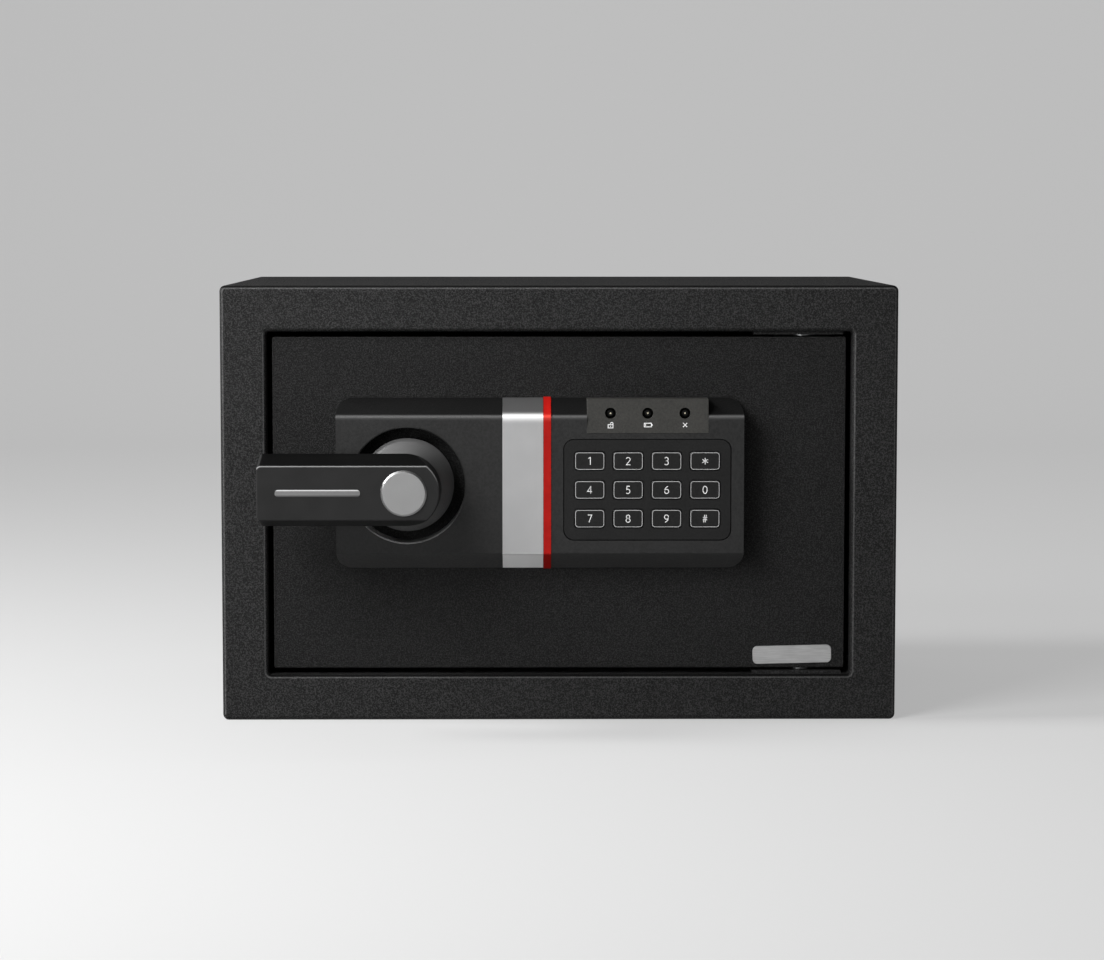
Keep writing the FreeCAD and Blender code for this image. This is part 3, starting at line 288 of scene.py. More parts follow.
class Look(Tree):
    """A material. Its patterns lie on Object coordinates."""

    def __init__(self, name):
        self.material = bpy.data.materials.new(name)
        self.material.use_nodes = True
        super().__init__(self.material.node_tree)
        self.node_tree.nodes.clear()
        self.place = self.node("ShaderNodeTexCoord", output="Object")

    def noise(self, size, detail=2.0, roughness=0.5, stretch=None):
        """Noise whose blobs are about as large as size, drawn out along the axes by stretch."""
        place = self.place
        if stretch:
            place = self.node("ShaderNodeMapping", inputs={"Vector": place, "Scale": stretch})
        return self.node("ShaderNodeTexNoise", inputs={
            "Vector": place, "Scale": 1 / size, "Detail": detail, "Roughness": roughness})

    def ramp(self, value, *stops):
        """Grey level that follows a value through stops."""
        return self.node("ShaderNodeValToRGB", {"stops": stops}, {0: value})

    def mix(self, share, first, second):
        """Colour between two others."""
        return self.node("ShaderNodeMix", {"data_type": "RGBA"}, {0: share, 6: first, 7: second}, output=2)

    def axis(self, letter):
        """One of the place's coordinates."""
        return self.node("ShaderNodeSeparateXYZ", inputs={0: self.place}, output=letter)

    def apart(self, centre):
        """Square of the distance from an axis along Y through a point."""
        across = self.axis("X") - centre.x
        up = self.axis("Z") - centre.z
        return across * across + up * up

    def relief(self, height, depth, edge=0.0):
        """Normal of a surface that stands up by height times depth. Its edges are softened by a radius."""
        inputs = {"Strength": 1.0, "Distance": depth, "Height": height}
        if edge:
            inputs["Normal"] = self.node("ShaderNodeBevel", {"samples": edge_samples}, {"Radius": edge})
        return self.node("ShaderNodeBump", inputs=inputs)

    def facing(self, letter):
        """One part of the face's normal, along the piece's own axes."""
        normal = self.node("ShaderNodeNewGeometry", output="Normal")
        own = self.node("ShaderNodeVectorTransform", {
            "vector_type": "NORMAL", "convert_from": "WORLD", "convert_to": "OBJECT"}, {0: normal})
        return self.node("ShaderNodeSeparateXYZ", inputs={0: own}, output=letter)

    def smooth(self, value, start, end):
        """0 before the start, 1 past the end, and a smooth rise between."""
        return self.node("ShaderNodeMapRange", {"interpolation_type": "SMOOTHSTEP"}, {
            "Value": value, "From Min": start, "From Max": end})

    def hump(self, value, start, full, fading, end):
        """0 before the start and past the end, 1 from full to fading, and smooth between."""
        return self.smooth(value, start, full) * (1 - self.smooth(value, fading, end))

    # Mask of a painted highlight on the round above a front
    def highlight_mask(self, slope):
        """1 on the round between a front and the slope above it, whose normal has this height, else 0."""
        stops = ((0.08 * slope, 0.0), (0.35 * slope, 1.0), (0.7 * slope, 1.0), (slope_share * slope, 0.0))
        return self.ramp(self.facing("Z"), *stops) * self.facing("Y").under(front_limit)

    def level_band(self, height, below, above):
        """1 along a level edge at this height, fading below it and above it."""
        band = self.hump(self.axis("Z"), height - below, height, height, height + above)
        return band * band * self.facing("Y").under(front_limit)

    def finish(self, **sockets):
        """Close the material with one shader. Underscores stand for spaces in the sockets' names."""
        named = {name.replace("_", " "): value for name, value in sockets.items()}
        surface = self.node("ShaderNodeBsdfPrincipled", inputs=named)
        self.node("ShaderNodeOutputMaterial", inputs={"Surface": surface})
        return self.material


# Places that finishes follow

def middle_of(node):
    """Middle of a node's box."""
    low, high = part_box(node)
    return (low + high) / 2


def fascia_levels():
    """Heights of the two edges between the fascia's front and its slopes."""
    low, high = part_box("fascia")
    return low.z + fascia_drop, high.z - fascia_drop


def lamp_centres():
    """Middle of each lamp's tip."""
    low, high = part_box("indicator_leds")
    radius = (high.z - low.z) / 2
    middle = middle_of("indicator_leds")
    return [Vector((x, low.y, middle.z)) for x in (low.x + radius, middle.x, high.x - radius)]


# Finishes. A size is how large a pattern's blobs are, and a depth is how far they stand up.

def powder_coat(name, dark, light, pale, grain, depth):
    """Textured powder coat: fine pebbles over slow clouds. It has a painted highlight along edges that don't
    look down, and painted shade, a dark line, where the front turns over to the top."""
    look = Look(name)
    pebble = look.ramp(look.noise(grain, 1.0, 0.5), *pebble_stops)
    dust = look.ramp(look.noise(grain / 2, 1.0), *pebble_stops)
    clouds = look.noise(grain * 40, 2.0)
    front = look.facing("Y")
    up = look.facing("Z")
    # Painted highlight: paler along the edges that don't look down, mixed with the pebbles; the pale colour
    # is its colour
    edge_highlight = look.hump(front, *edge_highlight_turn) * up.over(slant_limit)
    # Painted shade: a nearly black line where the front turns over to the top
    dark_edge_shade = look.hump(up, *dark_edge_turn) * front.under(slant_limit)
    share = pebble * 0.7 + dust * 0.2 + clouds * 0.1
    colour = look.mix(share, linear(dark), linear(light))
    colour = look.mix(edge_highlight * (0.5 + pebble * 0.5), colour, linear(pale))
    return look.finish(
        Base_Color=look.mix(dark_edge_shade, colour, linear("020202")),
        Roughness=0.54 - pebble * 0.14 + dark_edge_shade * 0.3,
        Normal=look.relief(pebble * 0.7 + dust * 0.3, depth),
        Specular_IOR_Level=0.15)


def spark_grain(look, grain):
    """Grain of a spark-eroded mould: fine pits, and mottles a few pits wide."""
    pits = look.ramp(look.noise(grain, 2.0, 0.6), *pit_stops)
    mottles = look.ramp(look.noise(grain * 3, 2.0), *pit_stops)
    return pits * 0.5 + mottles * 0.5


def moulded_plastic(name, dark, light, grain=0.0004, depth=0.00003, rough=0.46, edge=0.0003):
    """Plastic from a finely spark-eroded mould."""
    look = Look(name)
    spark = spark_grain(look, grain)
    clouds = look.noise(grain * 60, 2.0)
    return look.finish(
        Base_Color=look.mix(spark * 0.7 + clouds * 0.3, linear(dark), linear(light)),
        Roughness=rough + (spark - 0.5) * 0.2 + (clouds - 0.5) * 0.12,
        Normal=look.relief(spark, depth, edge),
        Specular_IOR_Level=0.25)


def fascia_plastic(grain=0.0004, cloud_size=0.024, depth=0.00005):
    """The fascia's plastic, with painted light and shade: a painted highlight along the upper edge and on
    the well's rim, a paler lower slope, a darker upper slope, and painted shade, black, inside the handle's
    well.
    """
    look = Look("fascia plastic")
    spark = spark_grain(look, grain)
    clouds = look.noise(cloud_size, 2.0)
    up = look.facing("Z")
    plain = look.mix(spark * 0.7 + clouds * 0.3, linear("161616"), linear("2e2e2e"))
    # Painted light: the lower slope is paler, as if lit from below
    plain = look.mix(up.under(-0.8 * fascia_slope), plain, linear("3e3e3e"))
    # Painted shade: the upper slope is darker
    plain = look.mix(up.over(slope_share * fascia_slope), plain, linear("0f0f0f"))
    # Painted highlight along the fascia's upper edge
    highlight_mask = look.level_band(fascia_levels()[1], *fascia_highlight_reach)
    apart = look.apart(middle_of("lever_cap"))
    # Painted shade: black inside the handle's well
    inside = apart.under(well_radius ** 2)
    # Painted highlight on the well's rim where it faces up
    rim = apart.under((well_radius + well_rim) ** 2) * look.smooth(up, 0.1, 0.6)
    highlighted = look.mix(highlight_mask, plain, linear("545454"))
    highlighted = look.mix(rim, highlighted, linear("8c8c8c"))
    return look.finish(
        Base_Color=look.mix(inside, highlighted, linear("040404")),
        Roughness=0.46 + (spark - 0.5) * 0.2 + (clouds - 0.5) * 0.12 - highlight_mask * 0.14,
        Normal=look.relief(spark, depth),
        Specular_IOR_Level=0.25)


def red_plastic(name, colour, deep, shine, flow_size=0.004):
    """Opaque red plastic with a low shine, paler where the upper edge catches the light."""
    look = Look(name)
    flow = look.noise(flow_size, 1.0)
    plain = look.mix(flow, linear(deep), linear(colour))
    highlight_mask = look.level_band(fascia_levels()[1], *red_highlight_reach)
    return look.finish(
        Base_Color=look.mix(highlight_mask, plain, linear(shine)),
        Roughness=0.38 + flow * 0.1,
        Specular_IOR_Level=0.12)


def silver_paint(name, flake_size=0.0002, cloud_size=0.012, depth=0.000008):
    """Silver paint with fine flakes, with painted highlights along the edges of the slopes, painted light on
    the lower slope and painted shade on the upper slope.
    """
    look = Look(name)
    flakes = look.noise(flake_size, 1.0, 0.6)
    clouds = look.noise(cloud_size, 2.0)
    sparkle = look.ramp(flakes, *flake_stops)
    up = look.facing("Z")
    # Painted light: the lower slope is palest, as if lit from below
    painted_light_foot = up.under(-0.5 * fascia_slope)
    low_edge, high_edge = fascia_levels()
    # Painted highlights along the upper edge and along the lower edge
    highlight_mask = look.level_band(high_edge, *strip_highlight_reach)
    rim = look.level_band(low_edge, *strip_low_highlight_reach)
    plain = look.mix(sparkle * 0.6 + clouds * 0.4, linear("a6a6a7"), linear("c2c2c2"))
    plain = look.mix(painted_light_foot, plain, linear("fcfcfc"))
    # Painted shade: the upper slope is darker
    plain = look.mix(up.over(slope_share * fascia_slope), plain, linear("6c6c6c"))
    plain = look.mix(rim, plain, linear("e2e2e2"))
    return look.finish(
        Base_Color=look.mix(highlight_mask, plain, linear("fcfcfc")),
        Metallic=(0.6 + sparkle * 0.15) * (1 - painted_light_foot) * (1 - highlight_mask) * (1 - rim),
        Roughness=0.46 - sparkle * 0.08 + clouds * 0.06 - highlight_mask * 0.12,
        Normal=look.relief(flakes, depth))


def brushed_metal(name, dark, light, stretch, rough, line_size=0.00012, cloud_size=0.009, depth=0.000006,
                  edge=0.00025):
    """Metal with fine lines, drawn out along the axes by stretch."""
    look = Look(name)
    lines = look.noise(line_size, 2.0, 0.6, stretch)
    clouds = look.noise(cloud_size, 2.0)
    return look.finish(
        Base_Color=look.mix(lines * 0.6 + clouds * 0.4, linear(dark), linear(light)),
        Metallic=1.0,
        Roughness=rough + (lines - 0.5) * 0.16 + (clouds - 0.5) * 0.1,
        Normal=look.relief(lines, depth, edge))


def inlay_metal(line_size=0.00012, depth=0.000006):
    """The lever's inlay: drawn metal with a painted highlight along its upper edge and painted shade along
    its lower one.
    """
    look = Look("lever inlay")
    low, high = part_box("lever_strip")
    lines = look.noise(line_size, 2.0, 0.6, (0.2, 1.0, 1.0))
    rise = (look.axis("Z") - low.z) / (high.z - low.z)
    # Painted highlight along the upper edge and painted shade along the lower one
    top_highlight = look.smooth(rise, 0.8, 0.9)
    bottom_shade = 1 - look.smooth(rise, 0.12, 0.3)
    plain = look.mix(lines, linear("767676"), linear("8e8e8e"))
    plain = look.mix(bottom_shade, plain, linear("565656"))
    return look.finish(
        Base_Color=look.mix(top_highlight, plain, linear("e0e0e0")),
        Metallic=1 - top_highlight * 0.6,
        Roughness=0.4 + (lines - 0.5) * 0.16,
        Normal=look.relief(lines, depth))


def turned_metal(ring_size=0.0003, cloud_size=0.009, depth=0.0001):
    """The hub's satin metal, with fine rings from turning."""
    look = Look("turned hub")
    rings = look.noise(ring_size, 1.0, 0.5, (0.02, 1.0, 0.02))
    clouds = look.noise(cloud_size, 2.0)
    return look.finish(
        Base_Color=look.mix(rings * 0.6 + clouds * 0.4, linear("606060"), linear("7c7c7c")),
        Metallic=0.4,
        Roughness=0.36 + (clouds - 0.5) * 0.1,
        Normal=look.relief(rings, depth))


def satin_paint(name, dark, light, rough, shine=0.3, highlight_colour=None, peel_size=0.0011, speck_size=0.00025,
                cloud_size=0.015, depth=0.000012):
    """Smooth satin paint with a faint orange peel. A colour given for the upper edges is a painted highlight
    along the lever's upper edges, and the upper slope then gets painted shade.
    """
    look = Look(name)
    peel = look.noise(peel_size, 1.0)
    specks = look.noise(speck_size, 1.0)
    clouds = look.noise(cloud_size, 2.0)
    colour = look.mix(specks * 0.5 + clouds * 0.5, linear(dark), linear(light))
    if highlight_colour:
        # Painted shade on the upper slope, then a painted highlight along the upper edges
        colour = look.mix(look.facing("Z").over(slope_share * lever_slope), colour, linear("040404"))
        colour = look.mix(look.highlight_mask(lever_slope), colour, linear(highlight_colour))
    return look.finish(
        Base_Color=colour,
        Roughness=rough + (specks - 0.5) * 0.14 + (clouds - 0.5) * 0.1,
        Normal=look.relief(peel * 0.6 + specks * 0.4, depth),
        Specular_IOR_Level=shine)


def lamp_glass(haze_size=0.002):
    """Smoked lens, nearly black, with a painted reflection, a pale dot, at its middle."""
    look = Look("smoked lens")
    haze = look.noise(haze_size, 1.0)
    # Painted reflection: a pale dot at the middle of each lens
    glints = sum(look.apart(centre).under(glint_radius ** 2) for centre in lamp_centres())
    lens = look.mix(haze, linear("030303"), linear("090909"))
    return look.finish(
        Base_Color=look.mix(glints, lens, linear("c8c0a8")),
        Roughness=0.3 + haze * 0.1,
        Specular_IOR_Level=0.2)


def felt_cloth(fibre_size=0.0004, tuft_size=0.006, depth=0.0004):
    """Needled felt: short fibres that cross in every direction."""
    look = Look("needle felt")
    along = look.noise(fibre_size, 3.0, 0.65, (0.25, 1.0, 1.0))
    across = look.noise(fibre_size, 3.0, 0.65, (1.0, 0.25, 1.0))
    tufts = look.noise(tuft_size, 2.0)
    fibres = along * 0.5 + across * 0.5
    return look.finish(
        Base_Color=look.mix(fibres * 0.7 + tufts * 0.3, linear("121214"), linear("3a3a3e")),
        Roughness=0.92 + (fibres - 0.5) * 0.1,
        Normal=look.relief(fibres, depth),
        Sheen_Weight=0.25,
        Sheen_Roughness=0.5)


def wound_wire(pitch=0.0004, tint_size=0.003, depth=0.00012):
    """Enamelled copper wire, wound turn by turn."""
    look = Look("wound copper")
    turn = look.axis("Z") * (2 * math.pi / pitch)
    crown = look.maths("SINE", turn) * 0.5 + 0.5
    tint = look.noise(tint_size, 2.0)
    return look.finish(
        Base_Color=look.mix(crown * 0.6 + tint * 0.4, linear("4a1f0c"), linear("b8683a")),
        Metallic=0.9,
        Roughness=0.3 + tint * 0.15,
        Normal=look.relief(crown, depth))


def circuit_laminate(track_scale=260.0, track_width=0.06, mottle_size=0.002, depth=0.00004):
    """Green laminate with copper tracks under the mask."""
    look = Look("circuit laminate")
    upright = look.node("ShaderNodeMapping", inputs={"Vector": look.place, "Rotation": (math.pi / 2, 0, 0)})
    tracks = look.node("ShaderNodeTexBrick", {"offset": 0.5}, {
        "Vector": upright, "Scale": track_scale, "Mortar Size": track_width}, output="Fac")
    mottle = look.noise(mottle_size, 2.0)
    return look.finish(
        Base_Color=look.mix(tracks * 0.6 + mottle * 0.3, linear("0c3a1c"), linear("2f7a42")),
        Roughness=0.32 + mottle * 0.12,
        Normal=look.relief(tracks, depth))


def cell_jacket(scuff_size=0.0015, depth=0.00001):
    """Shrink-wrapped cells: a dark sleeve with a copper-coloured band at one end. Every second cell is
    turned round."""
    look = Look("cell jacket")
    low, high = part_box("batteries")
    pitch = (high.z - low.z) / cell_count
    row = look.maths("FLOOR", (look.axis("Z") - low.z) / pitch)
    turned = look.maths("MODULO", row, 2.0).over(0.5)
    along = (look.axis("X") - low.x) / (high.x - low.x)
    from_end = along * turned + (1 - along) * (1 - turned)
    band = from_end.under(cell_band_share)
    scuffs = look.noise(scuff_size, 3.0)
    sleeve = look.mix(scuffs, linear("101012"), linear("1c1c20"))
    foil = look.mix(scuffs, linear("8a5a30"), linear("b98450"))
    return look.finish(
        Base_Color=look.mix(band, sleeve, foil),
        Metallic=band * 0.7,
        Roughness=0.3 + scuffs * 0.15,
        Normal=look.relief(scuffs, depth))


def ink(name, dark, light, patch_size=0.0006):
    """Screen-printed ink, slightly uneven."""
    look = Look(name)
    patches = look.noise(patch_size, 2.0)
    return look.finish(
        Base_Color=look.mix(patches, linear(dark), linear(light)),
        Roughness=0.55 + patches * 0.15)


LOOKS = {
    "body_powder": powder_coat("body powder coat", "070707", "3d3d3d", "525252", 0.0006, 0.00017),
    "door_powder": powder_coat("door powder coat", "040404", "303030", "404040", 0.00058, 0.00015),
    "cover_paint": satin_paint("inner cover paint", "1c1c1c", "2a2a2a", rough=0.5),
    "zinc_steel": brushed_metal("zinc plate", "8d9092", "b9bbbb", (1.0, 1.0, 0.12), rough=0.34),
    "bolt_chrome": brushed_metal("bolt chrome", "c4c5c7", "dadadb", (0.1, 1.0, 1.0), rough=0.16),
    "floor_felt": felt_cloth(),
    "fascia_plastic": fascia_plastic(),
    "silver_trim": silver_paint("silver paint"),
    "red_trim": red_plastic("red line", "b41a14", "96120e", shine="d8443a"),
    "hood_plastic": moulded_plastic("hood plastic", "282827", "403f3c", grain=0.0003),
    "lamp_lens": lamp_glass(),
    "keypad_plastic": moulded_plastic("keypad plastic", "0a0a0a", "1e1e1e", grain=0.0003),
    "key_plastic": moulded_plastic("key plastic", "0a0a0a", "1e1e1e", grain=0.0003, edge=0.00015),
    "board_laminate": circuit_laminate(),
    "black_plastic": moulded_plastic("black plastic", "101010", "1c1c1c"),
    "lever_paint": satin_paint("lever paint", "181818", "313131", rough=0.46, shine=0.1, highlight_colour="7c7c7c"),
    "hub_satin": turned_metal(),
    "lever_trim": brushed_metal("lever trim", "949494", "a8a8a8", (0.2, 1.0, 1.0), rough=0.42),
    "lock_brass": brushed_metal("turned brass", "a3803c", "d2b169", (1.0, 0.2, 1.0), rough=0.3),
    "coil_copper": wound_wire(),
    "cell_jacket": cell_jacket(),
    "red_button": red_plastic("red button", "b3120e", "8c0c0a", shine="b3120e"),
}
OUTLINE_INK = ink("outline ink", "acacac", "c4c4c4")
SIGN_INK = ink("sign ink", "e4e4e4", "fafafa")
TAG_FINISH = brushed_metal("blank plate", "929292", "e2e2e2", (0.06, 1.0, 1.0), rough=0.42, line_size=0.0004)
OWN_LOOKS = {
    "lever_strip": inlay_metal(),
    "hinge_pins": brushed_metal("oiled pins", "6a6b6c", "8e8f90", (1.0, 1.0, 0.12), rough=0.3),
}


def dress_nodes():
    """Give each node its own finish, or the one of its material slot."""
    for entry in frame["record"]["subparts"]:
        mesh = frame["nodes"][entry["node"]].data
        mesh.materials.clear()
        mesh.materials.append(OWN_LOOKS.get(entry["node"], LOOKS[entry["material_slot"]]))


# Making pieces

def add_piece(name, mesh, body):
    """Make a mesh a piece that rides on a body."""
    piece = bpy.data.objects.new(name, mesh)
    bpy.context.scene.collection.objects.link(piece)
    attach(piece, body)
    return piece


def finished_mesh(build, name, material):
    """Mesh with its material, from a mesh under construction, which is freed."""
    mesh = bpy.data.meshes.new(name)
    build.to_mesh(mesh)
    build.free()
    mesh.materials.append(material)
    return mesh


def smooth_faces(mesh, angle=35):
    """Round faces shade smoothly, and edges sharper than the angle stay sharp."""
    mesh.shade_smooth()
    mesh.set_sharp_from_angle(angle=math.radians(angle))


def grow_slab(build, faces, rise):
    """Grow flat faces into a slab, towards +Z. Gives the points of its upper side."""
    grown = bmesh.ops.extrude_face_region(build, geom=faces, use_keep_orig=True)
    top = [item for item in grown["geom"] if isinstance(item, bmesh.types.BMVert)]
    bmesh.ops.translate(build, vec=(0, 0, rise), verts=top)
    return top


def evaluated_mesh(holder):
    """Plain mesh of an object as its modifiers leave it. The object is removed."""
    bpy.context.view_layer.update()
    graph = bpy.context.evaluated_depsgraph_get()
    mesh = bpy.data.meshes.new_from_object(holder.evaluated_get(graph))
    bpy.data.objects.remove(holder)
    return mesh


def new_tree(name, sizes):
    """Geometry node group with named float inputs, a material input and a geometry output."""
    group = bpy.data.node_groups.new(name, "GeometryNodeTree")
    for size in sizes:
        group.interface.new_socket(size, in_out="INPUT", socket_type="NodeSocketFloat")
    group.interface.new_socket("Material", in_out="INPUT", socket_type="NodeSocketMaterial")
    group.interface.new_socket("Geometry", in_out="OUTPUT", socket_type="NodeSocketGeometry")
    return group


def group_inputs(tree, group):
    """The group's inputs by name."""
    made = group.nodes.new("NodeGroupInput")
    return {socket.name: Value(tree, socket) for socket in made.outputs if socket.name}


def close_tree(tree, geometry, material):
    """End a geometry tree as real faces with a material."""
    real = tree.node("GeometryNodeRealizeInstances", inputs={0: geometry})
    painted = tree.node("GeometryNodeSetMaterial", inputs={"Geometry": real, "Material": material})
    tree.node("NodeGroupOutput", inputs={0: painted})


def grown_mesh(name, group, sizes, material):
    """Mesh that a geometry node group gives for these sizes."""
    holder = bpy.data.objects.new(name, bpy.data.meshes.new(name))
    bpy.context.scene.collection.objects.link(holder)
    modifier = holder.modifiers.new(name, "NODES")
    modifier.node_group = group
    for item in group.interface.items_tree:
        if item.in_out == "INPUT":
            modifier[item.identifier] = material if item.name == "Material" else sizes[item.name]
    return evaluated_mesh(holder)


# Strokes of the prints, as points in a plane

def run(*points):
    """Points of straight lines."""
    return [Vector(point) for point in points]


def box_points(left, low, right, high):
    """Corners of a rectangle."""
    return run((left, low), (right, low), (right, high), (left, high))


def arc(centre, radius, start, end, steps=12):
    """Points of an arc between two angles in degrees."""
    angles = [math.radians(start + (end - start) * step / steps) for step in range(steps + 1)]
    return [Vector((centre[0] + radius * math.cos(angle), centre[1] + radius * math.sin(angle)))
            for angle in angles]


def oval(centre, across, up, steps=24):
    """Points round an ellipse."""
    angles = [2 * math.pi * step / steps for step in range(steps)]
    return [Vector((centre[0] + across * math.cos(angle), centre[1] + up * math.sin(angle)))
            for angle in angles]


def bent_line(start, bend, end, steps=10):
    """Points of a curve from start to end that bends towards a third point."""
    shares = [step / steps for step in range(steps + 1)]
    start, bend, end = run(start, bend, end)
    return [start * (1 - share) ** 2 + bend * 2 * share * (1 - share) + end * share ** 2 for share in shares]


def rounded_outline(width, height, corner, steps=8):
    """Points round a rectangle with rounded corners."""
    points = []
    for sign_x, sign_y, start in ((1, 1, 0), (-1, 1, 90), (-1, -1, 180), (1, -1, 270)):
        centre = (sign_x * (width / 2 - corner), sign_y * (height / 2 - corner))
        points += arc(centre, corner, start, start + 90, steps)
    return points


def star_strokes():
    """Three bars that cross at the middle of a sign."""
    angles = [math.radians(angle) for angle in star_angles]
    arms = [Vector((math.cos(angle), math.sin(angle))) * star_arm_share for angle in angles]
    return [([sign_middle - arm, sign_middle + arm], False) for arm in arms]


# Strokes of the signs, one unit high and 0.6 wide, each with its points and whether it closes on itself
SIGNS = {
    "0": [(oval((0.3, 0.5), 0.28, 0.5), True)],
    "1": [(run((0.1, 0.84), (0.38, 1.0), (0.38, 0.0)), False)],
    "2": [(arc((0.29, 0.72), 0.27, 160, -35) + run((0.03, 0.0), (0.6, 0.0)), False)],
    "3": [(arc((0.26, 0.76), 0.24, 145, -90) + arc((0.26, 0.26), 0.27, 90, -145)[1:], False)],
    "4": [(run((0.44, 0.0), (0.44, 1.0), (0.0, 0.29), (0.62, 0.29)), False)],
    "5": [(run((0.54, 1.0), (0.14, 1.0), (0.11, 0.56)) + arc((0.24, 0.3), 0.3, 105, -135), False)],
    "6": [(oval((0.3, 0.29), 0.28, 0.29), True), (bent_line((0.02, 0.3), (0.06, 0.8), (0.5, 1.0)), False)],
    "7": [(run((0.02, 1.0), (0.58, 1.0), (0.2, 0.0)), False)],
    "8": [(oval((0.3, 0.76), 0.23, 0.24), True), (oval((0.3, 0.26), 0.28, 0.26), True)],
    "9": [(oval((0.3, 0.71), 0.28, 0.29), True), (bent_line((0.58, 0.7), (0.54, 0.2), (0.1, 0.0)), False)],
    "star": star_strokes(),
    "hash": [(run((0.12, 0.0), (0.28, 1.0)), False), (run((0.34, 0.0), (0.5, 1.0)), False),
             (run((0.0, 0.34), (0.58, 0.34)), False), (run((0.04, 0.66), (0.62, 0.66)), False)],
}


def open_padlock(size):
    """Padlock whose shackle is out on one side, with a keyhole."""
    half = size * 0.42
    shoulder = size * 0.06
    shackle = arc((half / 2, size * 0.26), half / 2, 0, 180)
    return [(box_points(-half, -size / 2, half, shoulder), True),
            (run((half, shoulder)) + shackle + run((0, size * 0.2)), False),
            (run((0, -size * 0.14), (0, -size * 0.32)), False)]


def battery_sign(size):
    """Cell with its nub and one bar of charge."""
    half = size * 0.62
    tall = size * 0.32
    nub = half + icon_line
    bar = icon_line * 1.7 - half
    return [(box_points(-half, -tall, half, tall), True),
            (run((nub, -tall * 0.45), (nub, tall * 0.45)), False),
            (run((bar, -tall * 0.5), (bar, tall * 0.5)), False)]


def cross_sign(size):
    """Two bars that cross."""
    half = size * 0.36
    return [(run((-half, -half), (half, half)), False), (run((-half, half), (half, -half)), False)]


# Prints

def ribbon(build, points, width, closed=False):
    """Flat strip of an even width along points in the XY plane."""
    count = len(points)
    sides = []
    for index, point in enumerate(points):
        before = points[index - 1] if index or closed else point
        after = points[(index + 1) % count] if index < count - 1 or closed else point
        first = (point - before).normalized()
        second = (after - point).normalized()
        along = (first + second).normalized()
        reach = width / 2 / max(mitre_limit, along.dot(first if first.length else second))
        across = Vector((-along.y, along.x)) * reach
        sides.append([build.verts.new((*(point + across * sign), 0)) for sign in (1, -1)])
    pairs = zip(sides, sides[1:] + sides[:1] if closed else sides[1:])
    for (left, right), (next_left, next_right) in pairs:
        build.faces.new((left, right, next_right, next_left))


def printed_mesh(name, strokes, line, place):
    """Mesh of printed strokes, each a list of points or a closed loop, moved to its place."""
    build = bmesh.new()
    for points, closed in strokes:
        ribbon(build, points, line, closed)
    grow_slab(build, list(build.faces), print_rise)
    bmesh.ops.recalc_face_normals(build, faces=build.faces)
    build.transform(place)
    return finished_mesh(build, name, SIGN_INK)


def facing_front(centre, lean=0.0):
    """Stands a flat drawing up at a place, so that it looks to the front. Lean tips it back."""
    return Matrix.Translation(centre) @ Matrix.Rotation(math.pi / 2 - lean, 4, "X")


def outline_group():
    """Thin printed frame with rounded corners, facing -Y."""
    group = new_tree("printed frame", ("Width", "Height", "Corner", "Line", "Rise"))
    tree = Tree(group)
    size = group_inputs(tree, group)

    def loop(inward):
        box = tree.node("GeometryNodeCurvePrimitiveQuadrilateral", inputs={
            "Width": size["Width"] - 2 * inward, "Height": size["Height"] - 2 * inward})
        return tree.node("GeometryNodeFilletCurve", {"mode": "POLY"}, {
            "Curve": box, "Count": outline_steps, "Radius": size["Corner"] - inward})

    both = tree.node("GeometryNodeJoinGeometry", inputs={0: [loop(0.0), loop(size["Line"])]})
    flat = tree.node("GeometryNodeFillCurve", {"mode": "NGONS"}, {0: both})
    raised = tree.node("GeometryNodeExtrudeMesh", inputs={
        "Mesh": flat, "Offset Scale": size["Rise"], "Individual": False})
    under = tree.node("GeometryNodeFlipFaces", inputs={0: flat})
    closed = tree.node("GeometryNodeJoinGeometry", inputs={0: [raised, under]})
    welded = tree.node("GeometryNodeMergeByDistance", inputs={"Geometry": closed, "Distance": weld_gap})
    upright = tree.node("GeometryNodeTransform", inputs={
        "Geometry": welded, "Rotation": (math.pi / 2, 0, 0)})
    close_tree(tree, upright, size["Material"])
    return group


def key_face(key):
    """Centre, width and height of a key's front."""
    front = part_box(key)[0].y
    points = [vertex.co for vertex in frame["nodes"][key].data.vertices if vertex.co.y < front + face_reach]
    xs = [point.x for point in points]
    zs = [point.z for point in points]
    centre = Vector(((min(xs) + max(xs)) / 2, front, (min(zs) + max(zs)) / 2))
    return centre, max(xs) - min(xs), max(zs) - min(zs)


def print_keys():
    """A thin frame round each key's front, and its number or sign in the middle."""
    group = outline_group()
    keys = [body for body in frame["bodies"] if body.startswith("key_") and body != "key_cover"]
    for key in keys:
        centre, width, height = key_face(key)
        sizes = {"Width": width - 2 * outline_margin, "Height": height - 2 * outline_margin,
                 "Corner": outline_corner, "Line": outline_line, "Rise": print_rise}
        outline = grown_mesh("outline", group, sizes, OUTLINE_INK)
        outline.transform(Matrix.Translation(centre))
        add_piece(key + "_outline", outline, key)
        scale = sign_height - sign_line
        strokes = [([(point - sign_middle) * scale for point in points], closed)
                   for points, closed in SIGNS[key.removeprefix("key_")]]
        add_piece(key + "_sign", printed_mesh("sign", strokes, sign_line, facing_front(centre)), key)


